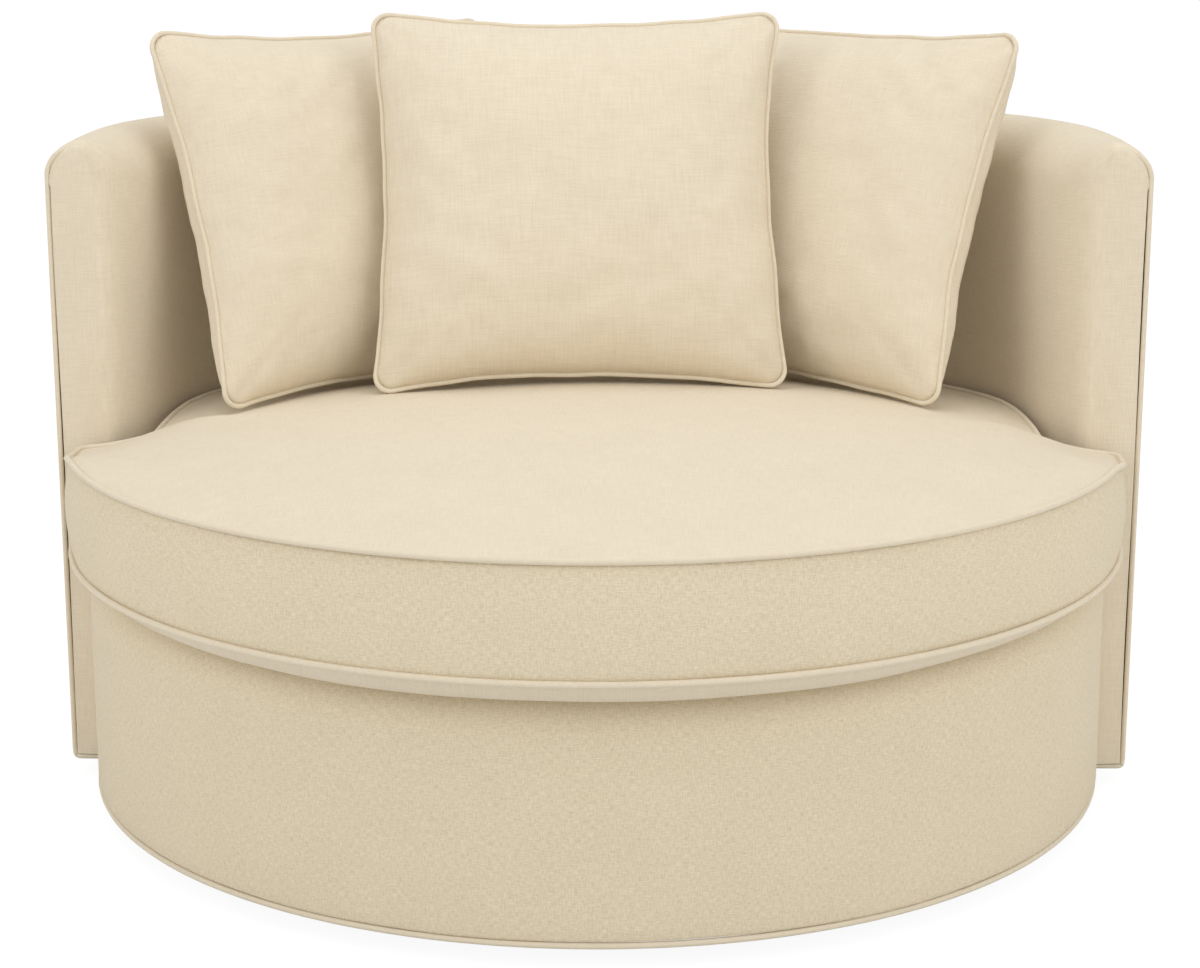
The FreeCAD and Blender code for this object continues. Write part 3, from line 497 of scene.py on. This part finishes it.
for end in (0, -1):  # the two arm fronts
    ring = wallGrid[:, end]
    side = 1 if end == 0 else -1
    spineX = side * (halfWidth - shellSet["spine"][0])
    spineTop = chair["rim"] - shellSet["spine"][1]
    spine = np.array([(spineX, chair["armFront"], min(p[2], spineTop)) for p in ring])
    shares = np.array([0.0, 0.06, 0.16, 0.32, 0.52, 0.75, 1.0])
    forward = np.array([0, shellSet["frontPuff"], 0])
    cap = np.array([ring + (spine - ring) * f - forward * smooth(f, 0, 1) for f in shares])
    across = np.abs(cap[:, :, 0])
    up = cap[:, :, 2]
    cap = cap if side > 0 else cap[:, ::-1]
    across, up = (across, up) if side > 0 else (across[:, ::-1], up[:, ::-1])
    shell.grid(cap, across, up, 3.0)
    edge = ring[:seamRow + 8]
    inward, back = shellSet["tuckIn"]
    tuck = np.array([edge, edge + np.array([-side * inward, back, 0])])
    shell.grid(tuck[::-1] if side > 0 else tuck, tuck[:, :, 0], tuck[:, :, 2], 3.0)
shellCover = shell.made("shellCover")
ripple(shellCover, shellSet["ripple"], 0.16, 3.0, (1, 1, 1.6))
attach(shellCover, "chair_body")
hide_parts("shell_inside_cover", "shell_padding")

outside = Sheet()
outsideEnds = [0.0045, 0.0065]
outsideLengths = outsideEnds + spaced(0.012, archLength - 0.012, 0.0125)
outsideLengths += [archLength - a for a in reversed(outsideEnds)]
outsideHem = [(0.010, 0.001), (0.003, 0.0), (0.0006, 0.0012), (0.0, 0.004)]  # inward, upward
outsideRows = [(s, chair["hem"] + rise) for s, rise in outsideHem]
outsideRows += [(0.0, z) for z in spaced(0.045, shellSet["seamHeight"] - 0.006, 0.0135)]
outsideRows += [(0.0006, shellSet["seamHeight"] - 0.002), (0.003, shellSet["seamHeight"])]
outsideGrid = []
for s, z in outsideRows:
    line = []
    for i, length in enumerate(outsideLengths):
        x, y, nx, ny = archPlace(length)
        tuckIn = 0.003 if i in (0, len(outsideLengths) - 1) else 0.0
        line.append((x + nx * (s + tuckIn), y + ny * (s + tuckIn), z))
    outsideGrid.append(line)
outsideHeights = np.array([z for s, z in outsideRows])
outside.grid(outsideGrid, np.array(outsideLengths)[None, :], outsideHeights[:, None], 5.0)
shellOutside = outside.made("shellOutside")
ripple(shellOutside, shellSet["outsideRipple"], 0.22, 11.0)
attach(shellOutside, "chair_body")
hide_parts("shell_outside_cover")
print("shell covered")

# Rolled seam up each outer front edge, fading out over the rim
rollSet = {"radius": 0.0029, "inset": 0.0030, "endRadius": 0.0008, "endBack": 0.004, "sink": 0.0035}
for side, label in ((1, "right"), (-1, "left")):
    inset = rollSet["inset"]
    path = [(halfWidth - inset, z) for z in spaced(chair["hem"] - 0.001, shellSet["seamHeight"], 0.006)]
    path[0] = (path[0][0] - 0.0005, path[0][1])
    steps = 22
    for i in range(1, steps + 1):
        turn = math.radians(96) * i / steps
        sink = rollSet["sink"] * smooth(i / steps, 0.15, 1.0) + shellSet["droop"] * math.sin(turn)
        reach = chair["rimOuter"] - inset - sink
        x = halfWidth - chair["rimOuter"] + reach * math.cos(turn)
        path.append((x, shellSet["seamHeight"] + reach * math.sin(turn)))
    last = len(path) - 1
    thinner = rollSet["endRadius"] - rollSet["radius"]
    radii = [rollSet["radius"] + thinner * smooth(i, last - 16, last) for i in range(last + 1)]
    places = []
    for i, (x, z) in enumerate(path):
        back = rollSet["endBack"] * smooth(i, last - 14, last)
        places.append((side * x, chair["armFront"] + inset + back, z))
    roll = cord("frontRoll_" + label, places, radii, (0, -side, 0), patch=20.0 + side)
    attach(roll, "chair_body")
    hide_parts("shell_front_welt_" + label)

# Welt along the bottom edge of the shell
bottomSet = {"radius": 0.0036, "inset": 0.0032, "corner": 0.008, "innerEnd": 0.054, "rise": 0.0030}
corner = bottomSet["corner"]
front = chair["armFront"] + bottomSet["inset"]
z = chair["skirt"] + bottomSet["rise"]
path = [(halfWidth - x, front, z) for x in spaced(bottomSet["innerEnd"], 0.012, 0.005)]
for i in range(1, 8):
    turn = math.pi / 2 * i / 8
    x = halfWidth - bottomSet["inset"] - corner + corner * math.sin(turn)
    path.append((x, front + corner - corner * math.cos(turn), z))
for length in spaced(0.0115, archLength / 2, 0.01):
    x, y, nx, ny = archPlace(length)
    path.append((x + nx * bottomSet["inset"], y + ny * bottomSet["inset"], z))
path += [(-x, y, z) for x, y, z in reversed(path[:-1])]
bottomWelt = cord("shellBottomWelt", path, bottomSet["radius"], (0, 0, 1), patch=31.0)
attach(bottomWelt, "chair_body")
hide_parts("shell_bottom_welt")

# Drum front: cloth over padding, rounded over at the top
drumSet = {
    "radius": 0.590,
    "setback": 0.048,
    "round": 0.045,
    "lap": 0.030,
    "ripple": 0.0014,
    "columns": 190,
    "welt": 0.0034,
    "weltIn": 0.0030,
}
drumY = chair["armFront"] + drumSet["setback"]
drumHem = [(-0.010, 0.001), (-0.003, 0.0), (-0.0008, 0.0012), (0.0, 0.004)]
profile = [(d, chair["hem"] + rise) for d, rise in drumHem]
profile += [(0.0, z) for z in spaced(0.044, chair["deck"] - drumSet["round"], 0.012)]
for i in range(1, 11):
    turn = math.pi / 2 * i / 10
    inward = drumSet["round"] * (1 - math.cos(turn))
    profile.append((-inward, chair["deck"] - drumSet["round"] * (1 - math.sin(turn))))
for a in (0.010, 0.020, drumSet["lap"]):
    sunk = 0.0002 + 0.004 * smooth(a, 0.01, 0.03)
    profile.append((-drumSet["round"] - a, chair["deck"] - sunk))
drum = Sheet()
drumRows = []
for d, z in profile:
    radius = drumSet["radius"] + d
    start = math.asin((chair["armFront"] - 0.0006 - drumY) / radius)
    turns = np.linspace(-math.pi - start, start, drumSet["columns"])
    drumRows.append([(radius * math.cos(t), drumY + radius * math.sin(t), z) for t in turns])
drumAcross = np.linspace(0, drumSet["radius"] * 2.98, drumSet["columns"])
drumUp = measureAlong([(d, 0, z) for d, z in profile])
drum.grid(drumRows, drumAcross[None, :], drumUp[:, None], 7.0)
# the drum wears the shaded copy of the cloth: painted shade on an upright face
drumCover = drum.made("drumCover", [shadedUprightCloth])
ripple(drumCover, drumSet["ripple"], 0.17, 21.0)
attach(drumCover, "chair_body")
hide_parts("base_front_cover", "base_front_padding")

weltRing = drumSet["radius"] - drumSet["weltIn"]
limit = math.asin((chair["armFront"] - 0.001 - drumY) / weltRing)
z = chair["skirt"] + bottomSet["rise"]
turns = np.linspace(-math.pi - limit, limit, 240)
path = [(weltRing * math.cos(t), drumY + weltRing * math.sin(t), z) for t in turns]
drumWelt = cord("drumBottomWelt", path, drumSet["welt"], (0, 0, 1), patch=35.0)
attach(drumWelt, "chair_body")
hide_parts("base_bottom_welt")
print("drum covered")

# Deck under the loose cushion: cloth over felt, drawn down a little between the springs
deckSet = {"radius": 0.5195, "dip": 0.0016, "springs": 0.094, "under": 0.0002, "wallGap": 0.0006}
ring = []
start = math.asin((chair["armFront"] - 0.002 - drumY) / deckSet["radius"])
for t in np.linspace(-math.pi - start, start, 90):
    ring.append((deckSet["radius"] * math.cos(t), drumY + deckSet["radius"] * math.sin(t)))
for length in spaced(0.012, archLength - 0.012, 0.014):
    x, y, nx, ny = archPlace(length)
    inward = chair["wall"] + deckSet["wallGap"]
    ring.append((x + nx * inward, y + ny * inward))
ring.append(ring[0])
ring = np.array(ring)
heart = np.array([0.0, 0.06])
deck = Sheet()
deckRows = []
for share in np.linspace(1, 0, 34):
    line = []
    for p in heart + (ring - heart) * share:
        wave = 0.5 + 0.5 * math.cos(p[0] * 2 * math.pi / deckSet["springs"])
        dip = deckSet["dip"] * wave * smooth(1 - share, 0.05, 0.3)
        line.append((p[0], p[1], chair["deck"] - deckSet["under"] - dip))
    deckRows.append(line)
deckRows = np.array(deckRows)
deck.grid(deckRows, deckRows[:, :, 0], deckRows[:, :, 1], 9.0)
deckCloth = deck.made("deckCloth")
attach(deckCloth, "chair_body")
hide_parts("deck_cover", "deck_felt")
print("deck laid")

# Seat cushion: boxed, with a crowned top, a bulging band and a welt at each edge
cushionSet = {
    "radius": 0.5923,
    "centre": -0.011,
    "gap": 0.014,
    "ear": 0.016,
    "inner": 0.014,
    "lower": 0.316,
    "upper": 0.435,
    "crown": 0.046,
    "crownPower": 1.15,
    "apex": -0.170,
    "bulge": 0.007,
    "welt": 0.0034,
    "weltOut": 0.0027,
    "earDroop": 0.029,
    "ripple": 0.0016,
}


def arcPoints(centre, radius, start, end, step):
    turns = spaced(start, end, step / radius)
    return [(centre[0] + radius * math.cos(t), centre[1] + radius * math.sin(t)) for t in turns]


def cushionLine(inset):
    # half the outline from the middle of the front round to the middle of the back, then mirrored
    c = cushionSet
    cy = chair["armFront"] + c["centre"]
    radius = c["radius"] - inset
    lineY = chair["armFront"] - c["gap"] - inset
    ear = c["ear"] - inset
    earY = lineY - ear
    earX = math.sqrt((radius - ear) ** 2 - (earY - cy) ** 2)
    earTurn = math.atan2(earY - cy, earX)
    legX = halfWidth - chair["wall"] - c["gap"] - inset
    inner = c["inner"] + inset
    s = chair["wall"] + c["gap"] + inset
    half = arcPoints((0, cy), radius, -math.pi / 2, earTurn, 0.009)[:-1]
    half += arcPoints((earX, earY), ear, earTurn, math.pi / 2, 0.0035)[:-1]
    half += [(x, lineY) for x in spaced(earX, legX + inner, 0.006)][:-1]
    half += arcPoints((legX + inner, lineY + inner), inner, -math.pi / 2, -math.pi, 0.0035)[:-1]
    half += [(legX, y) for y in spaced(lineY + inner, archY, 0.006)][:-1]
    half += arcPoints((archX, archY), sideRadius - s, 0, joinTurn, 0.009)[:-1]
    half += arcPoints((0, backY), backRadius - s, joinTurn, math.pi / 2, 0.009)
    return np.array(half + [(-x, y) for x, y in reversed(half[1:-1])])


line = cushionLine(0)
apex = np.array([0.0, chair["armFront"] + cushionSet["apex"]])
loop = np.vstack([line, line[:1]])
lineMeasure = measureAlong(loop)
bottom = chair["deck"] + 0.0004


def cushionRing(scale, z):
    flat = apex + (loop - apex) * scale
    return np.column_stack([flat, np.full(len(flat), z)])


def eared(rings):
    # the ears before the arms hang down over the drum
    c = cushionSet
    for place in rings.reshape(-1, 3):
        x, y, z = place
        hang = smooth(abs(x), 0.43, 0.59) * smooth(y, -0.19, 0.02) * (1 - smooth(y, 0.05, 0.22))
        share = min(1.0, max(0.0, (z - c["lower"]) / (c["upper"] - c["lower"])))
        place[2] -= c["earDroop"] * hang * share
    return rings


cushion = Sheet()
topScales = [1, 0.994, 0.985, 0.972, 0.955, 0.935, 0.91, 0.88] + list(np.linspace(0.85, 0, 34))
top = []
for k in topScales:
    rise = cushionSet["crown"] * (1 - k ** 2) ** cushionSet["crownPower"]
    top.append(cushionRing(k, cushionSet["upper"] + rise))
tall = cushionSet["upper"] - cushionSet["lower"]
band = []
for part in np.linspace(0, 1, 13):
    swell = 1 + cushionSet["bulge"] / cushionSet["radius"] * (1 - (2 * part - 1) ** 2)
    band.append(cushionRing(swell, cushionSet["lower"] + part * tall))
underSteps = [(k, 1) for k in (0, 0.1, 0.2, 0.4, 0.6, 0.75, 0.84)]
underSteps += [(0.865, 0.995), (0.89, 0.98), (0.91, 0.94), (0.93, 0.88), (0.946, 0.78)]
underSteps += [(0.96, 0.66), (0.973, 0.51), (0.985, 0.34), (0.993, 0.17), (1, 0)]
under = []
for k, drop in underSteps:
    under.append(cushionRing(k, cushionSet["lower"] - drop * (cushionSet["lower"] - bottom)))
top, band, under = eared(np.array(top)), eared(np.array(band)), np.array(under)
cushion.grid(top, top[:, :, 0], top[:, :, 1], 11.0)
cushion.grid(band, lineMeasure[None, :], band[:, :, 2], 13.0, slot=1)
cushion.grid(under, under[:, :, 0], under[:, :, 1], 15.0)
# the band takes the shaded copy of the cloth: painted shade on the upright sides
seatCushion = cushion.made("seatCushion", [coverCloth, shadedUprightCloth])
ripple(seatCushion, cushionSet["ripple"], 0.15, 31.0)
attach(seatCushion, "seat_cushion")
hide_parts("seat_cushion_cover", "seat_cushion_wrap", "seat_cushion_core")
for label, height in (("Upper", cushionSet["upper"]), ("Lower", cushionSet["lower"])):
    out = cushionLine(-cushionSet["weltOut"])
    path = eared(np.column_stack([out, np.full(len(out), height)]))
    patch = 40.0 + height * 10
    welt = cord("seatWelt" + label, path, cushionSet["welt"], (0, 0, 1), closed=True, patch=patch)
    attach(welt, "seat_cushion")
    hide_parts("seat_welt_" + label.lower())
print("cushion made")

# Back pillows: knife edged, stuffed, drawn in along the sides, with a self welt
pillowSet = {
    "corner": 0.014,
    "pinch": 0.014,
    "welt": 0.0028,
    "bodyOut": 0.0030,
    "weltOut": 0.0042,
    "wobble": 0.0045,
    "pucker": 0.09,
    "rearBulge": 0.085,  # the rear panel swells past the seam at the open side
    "lean": 20.0,
    "fine": 92,  # cells along each side
    "fullness": 0.90,  # thickness before it is blown up
    "domePower": 2.6,
    "domeRound": 0.56,
    "pressure": 4.0,
    "cap": 0.012,  # farthest that the cloth may move
}
pillows = {
    "centre": {"size": (0.466, 0.434, 0.175), "spot": (-0.017, 0.028, 0.4763), "yaw": 5.3},
    "left": {"size": (0.460, 0.432, 0.156), "spot": (-0.2413, 0.125, 0.4602), "yaw": 40.0},
    "right": {"size": (0.460, 0.432, 0.156), "spot": (0.2075, 0.156, 0.4611), "yaw": -40.0},
}


def pillowSides(width, height, out=0.0, step=None, count=None):
    # the four sides, each from the middle of one corner to the middle of the next
    corner = pillowSet["corner"] + out
    a, b = width / 2 - pillowSet["corner"], height / 2 - pillowSet["corner"]
    pinch = pillowSet["pinch"]

    def side(halfSpan, depth):
        # along +X at the bottom: corner arc, hollow, corner arc, about the middle of the pillow
        centre = (halfSpan ** 2 - pinch ** 2) / (2 * pinch)
        radius = centre + pinch - pillowSet["corner"] - out
        slope = math.atan2(halfSpan, centre)
        points = []
        for t in np.linspace(-3 * math.pi / 4, -math.pi / 2 + slope, 8)[:-1]:
            points.append((-halfSpan + corner * math.cos(t), -depth + corner * math.sin(t)))
        for t in np.linspace(math.pi / 2 + slope, math.pi / 2 - slope, 60):
            points.append((radius * math.cos(t), -depth - centre + radius * math.sin(t)))
        for t in np.linspace(-math.pi / 2 - slope, -math.pi / 4, 8)[1:]:
            points.append((halfSpan + corner * math.cos(t), -depth + corner * math.sin(t)))
        points = np.array(points)
        along = measureAlong(points)
        cells = count or max(4, int(along[-1] / step))
        even = np.linspace(0, along[-1], cells + 1)
        return np.column_stack([np.interp(even, along, points[:, i]) for i in (0, 1)])

    low, right = side(a, b), side(b, a)
    turned = np.column_stack([-right[:, 1], right[:, 0]])
    return [low, turned, -low, -turned]


def pillowPlaces(flat, spot, yaw):
    # flat places (across, up from the middle, thickness) stood up on the seat
    lean, turn = math.radians(90 - pillowSet["lean"]), math.radians(yaw)
    x, v, w = flat[..., 0], flat[..., 1], flat[..., 2]
    y = v * math.cos(lean) - w * math.sin(lean)
    z = v * math.sin(lean) + w * math.cos(lean)
    return np.stack([
        x * math.cos(turn) - y * math.sin(turn) + spot[0],
        x * math.sin(turn) + y * math.cos(turn) + spot[1] + chair["armFront"],
        z + spot[2],
    ], -1)


def crumple(flat, seed):
    # small shifts shared by a pillow and its welt, so that they stay together
    def shifts(scale):
        places = flat.reshape(-1, 3)
        drawn = [noise.noise_vector(Vector((p[0] * scale, p[1] * scale, seed))) for p in places]
        return np.array(drawn).reshape(flat.shape)

    fine = shifts(17) * np.array([0.0022, 0.0022, 0.0016])
    broad = shifts(6) * pillowSet["wobble"] * np.array([1, 1, 0.6])
    return flat + fine + broad


def inflate(piece, pinned, pressure, cap):
    # blow the cloth up against its seam and keep what it does within the cap
    start = placesOf(piece.data).copy()
    group = piece.vertex_groups.new(name="seam")
    group.add([int(i) for i in pinned], 1.0, "REPLACE")
    cloth = piece.modifiers.new("cloth", "CLOTH")
    cloth.settings.quality = 5
    cloth.settings.mass = 0.3
    cloth.settings.tension_stiffness = cloth.settings.compression_stiffness = 12
    cloth.settings.shear_stiffness = 4
    cloth.settings.bending_stiffness = 0.6
    cloth.settings.use_pressure = True
    cloth.settings.uniform_pressure_force = pressure
    cloth.settings.vertex_group_mass = "seam"
    cloth.settings.effector_weights.gravity = 0
    cloth.collision_settings.use_collision = False
    cloth.point_cache.frame_end = 21
    for frameNumber in range(1, 21):
        scene.frame_set(frameNumber)
    graph = bpy.context.evaluated_depsgraph_get()
    moved = placesOf(piece.evaluated_get(graph).data).copy()
    piece.modifiers.remove(cloth)
    piece.vertex_groups.remove(group)
    scene.frame_set(1)
    shift = moved - start
    size = np.linalg.norm(shift, axis=1)
    shift *= np.minimum(1, cap / np.maximum(size, 1e-9))[:, None]
    movePlaces(piece.data, start + shift)
    return size.max()


for label, it in pillows.items():
    width, height, thick = it["size"]
    sides = pillowSides(width, height, out=pillowSet["bodyOut"], count=pillowSet["fine"])
    cells = pillowSet["fine"]
    spread = np.linspace(-1, 1, cells + 1)
    flat = np.zeros((cells + 1, cells + 1, 2))
    for r, v in enumerate(spread):
        for c, u in enumerate(spread):
            m = max(abs(u), abs(v))
            if m < 1e-9:
                continue
            if abs(v) >= abs(u):
                which, t = (0, u / m) if v < 0 else (2, -u / m)
            else:
                which, t = (1, v / m) if u > 0 else (3, -v / m)
            place = (t + 1) / 2 * cells
            i = min(cells - 1, int(place))
            flat[r, c] = m * (sides[which][i] + (place - i) * (sides[which][i + 1] - sides[which][i]))
    power = pillowSet["domePower"]
    acrossShare, upShare = np.meshgrid(spread, spread)
    squared = (1 - np.abs(acrossShare) ** power) * (1 - np.abs(upShare) ** power)
    dome = squared ** pillowSet["domeRound"] * thick / 2 * pillowSet["fullness"]
    pillow = Sheet()
    front = np.dstack([flat, dome])
    rear = np.dstack([flat, -dome])
    pillow.grid(front, flat[:, :, 0], flat[:, :, 1], 50.0 + it["yaw"])
    pillow.grid(rear[:, ::-1], flat[:, ::-1, 0], flat[:, ::-1, 1], 70.0 + it["yaw"])
    piece = pillow.made("pillow_" + label, weld=0.00005)
    places = placesOf(piece.data)
    seam = np.where(np.abs(places[:, 2]) < 1e-6)[0]
    most = inflate(piece, seam, pillowSet["pressure"], pillowSet["cap"])
    places = placesOf(piece.data)
    limit = thick / 2 * 1.02
    places[:, 2] = np.clip(places[:, 2], -limit, limit)
    print("pillow", label, "moved", round(most * 1000, 1), "mm")
    seed = 60 + it["yaw"]
    near = 1 - (np.abs(places[:, 2]) / (thick / 2)) ** 2  # near the seam
    folds = np.array([noise.noise(Vector((x * 34, y * 34, seed + z * 3))) for x, y, z in places])
    places[:, 2] *= 1 + pillowSet["pucker"] * folds * near
    behind = np.where(places[:, 2] < 0, np.abs(places[:, 2]) / (thick / 2), 0)
    openSide = 0.65 + 0.35 * np.sign(places[:, 0]) * -np.sign(it["yaw"]) if label != "centre" else 0.4
    places[:, 0] *= 1 + pillowSet["rearBulge"] * openSide * 4 * behind * np.clip(1 - behind, 0, 1)
    placed = pillowPlaces(crumple(places, seed) + np.array([0, height / 2, 0]), it["spot"], it["yaw"])
    movePlaces(piece.data, placed)
    body = "pillow_" + label
    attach(piece, body)
    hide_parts("pillow_cover_" + label, "pillow_insert_" + label)
    ringSides = pillowSides(width, height, out=pillowSet["weltOut"], step=0.004)
    ringFlat = np.vstack([s[:-1] for s in ringSides])
    ringFlat = np.column_stack([ringFlat, np.zeros(len(ringFlat))])
    lean, turn = math.radians(90 - pillowSet["lean"]), math.radians(it["yaw"])
    axis = (math.sin(lean) * math.sin(turn), -math.sin(lean) * math.cos(turn), math.cos(lean))
    path = pillowPlaces(crumple(ringFlat, seed) + np.array([0, height / 2, 0]), it["spot"], it["yaw"])
    welt = cord("pillowWelt_" + label, path, pillowSet["welt"], axis, closed=True, patch=90.0 + it["yaw"])
    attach(welt, body)
    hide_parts("pillow_welt_" + label)
print("pillows made")

# Floor, light and the white surround
floorPaint = Paint("floorPaint", Roughness=0.9)
floorPaint.tree.nodes.remove(floorPaint.shader)
eye = floorPaint.node("ShaderNodeLightPath").other("Is Camera Ray")
matte = floorPaint.node("ShaderNodeBsdfDiffuse", {}, {"Color": (0.80, 0.80, 0.80)})
shade = floorPaint.node("ShaderNodeBsdfDiffuse", {}, {"Color": (0.14, 0.14, 0.14)})
glow = floorPaint.node("ShaderNodeEmission", {}, {"Color": (1, 1, 1), "Strength": 0.93})
seen = floorPaint.node("ShaderNodeAddShader", {}, {0: shade, 1: glow})
surface = floorPaint.node("ShaderNodeMixShader", {}, {0: eye, 1: matte, 2: seen})
output = next(n for n in floorPaint.tree.nodes if n.type == "OUTPUT_MATERIAL")
floorPaint.put(output.inputs["Surface"], surface)
floorMesh = bpy.data.meshes.new("floor")
floorMesh.from_pydata([(-30, -30, 0), (30, -30, 0), (30, 30, 0), (-30, 30, 0)], [], [(0, 1, 2, 3)])
floorMesh.materials.append(floorPaint.material)
floor = bpy.data.objects.new("floor", floorMesh)
scene.collection.objects.link(floor)

lightSet = {
    "sky": 0.66,
    "lamps": {  # place, aim, size, watts
        "overhead": ((0.1, -0.2, 3.2), (0, 0.1, 0.4), 2.6, 23.0),
        "right": ((2.7, -2.3, 2.0), (-0.2, 0, 0.55), 2.2, 30.0),
        "left": ((-2.7, -2.3, 2.0), (0.2, 0, 0.55), 2.2, 27.0),
    },
}
world = bpy.data.worlds.new("surround")
scene.world = world
world.use_nodes = True
sky = next(n for n in world.node_tree.nodes if n.type == "BACKGROUND")
sky.inputs["Color"].default_value = (1, 1, 1, 1)
sky.inputs["Strength"].default_value = lightSet["sky"]
rays = world.node_tree.nodes.new("ShaderNodeLightPath")
white = world.node_tree.nodes.new("ShaderNodeBackground")
mixed = world.node_tree.nodes.new("ShaderNodeMixShader")
either = world.node_tree.nodes.new("ShaderNodeMath")
either.operation = "MAXIMUM"
worldOut = next(n for n in world.node_tree.nodes if n.type == "OUTPUT_WORLD")
for start, end in (
    (rays.outputs["Is Camera Ray"], either.inputs[0]),
    (rays.outputs["Is Glossy Ray"], either.inputs[1]),
    (either.outputs[0], mixed.inputs[0]),
    (sky.outputs[0], mixed.inputs[1]),
    (white.outputs[0], mixed.inputs[2]),
    (mixed.outputs[0], worldOut.inputs["Surface"]),
):
    world.node_tree.links.new(start, end)
white.inputs["Color"].default_value = (1, 1, 1, 1)
for label, (place, aim, size, watts) in lightSet["lamps"].items():
    lamp = bpy.data.objects.new(label, bpy.data.lights.new(label, "AREA"))
    lamp.data.size = size
    lamp.data.energy = watts
    lamp.location = place
    lamp.rotation_euler = (Vector(aim) - Vector(place)).to_track_quat("-Z", "Y").to_euler()
    scene.collection.objects.link(lamp)
scene.view_settings.view_transform = "Standard"
print("lit")
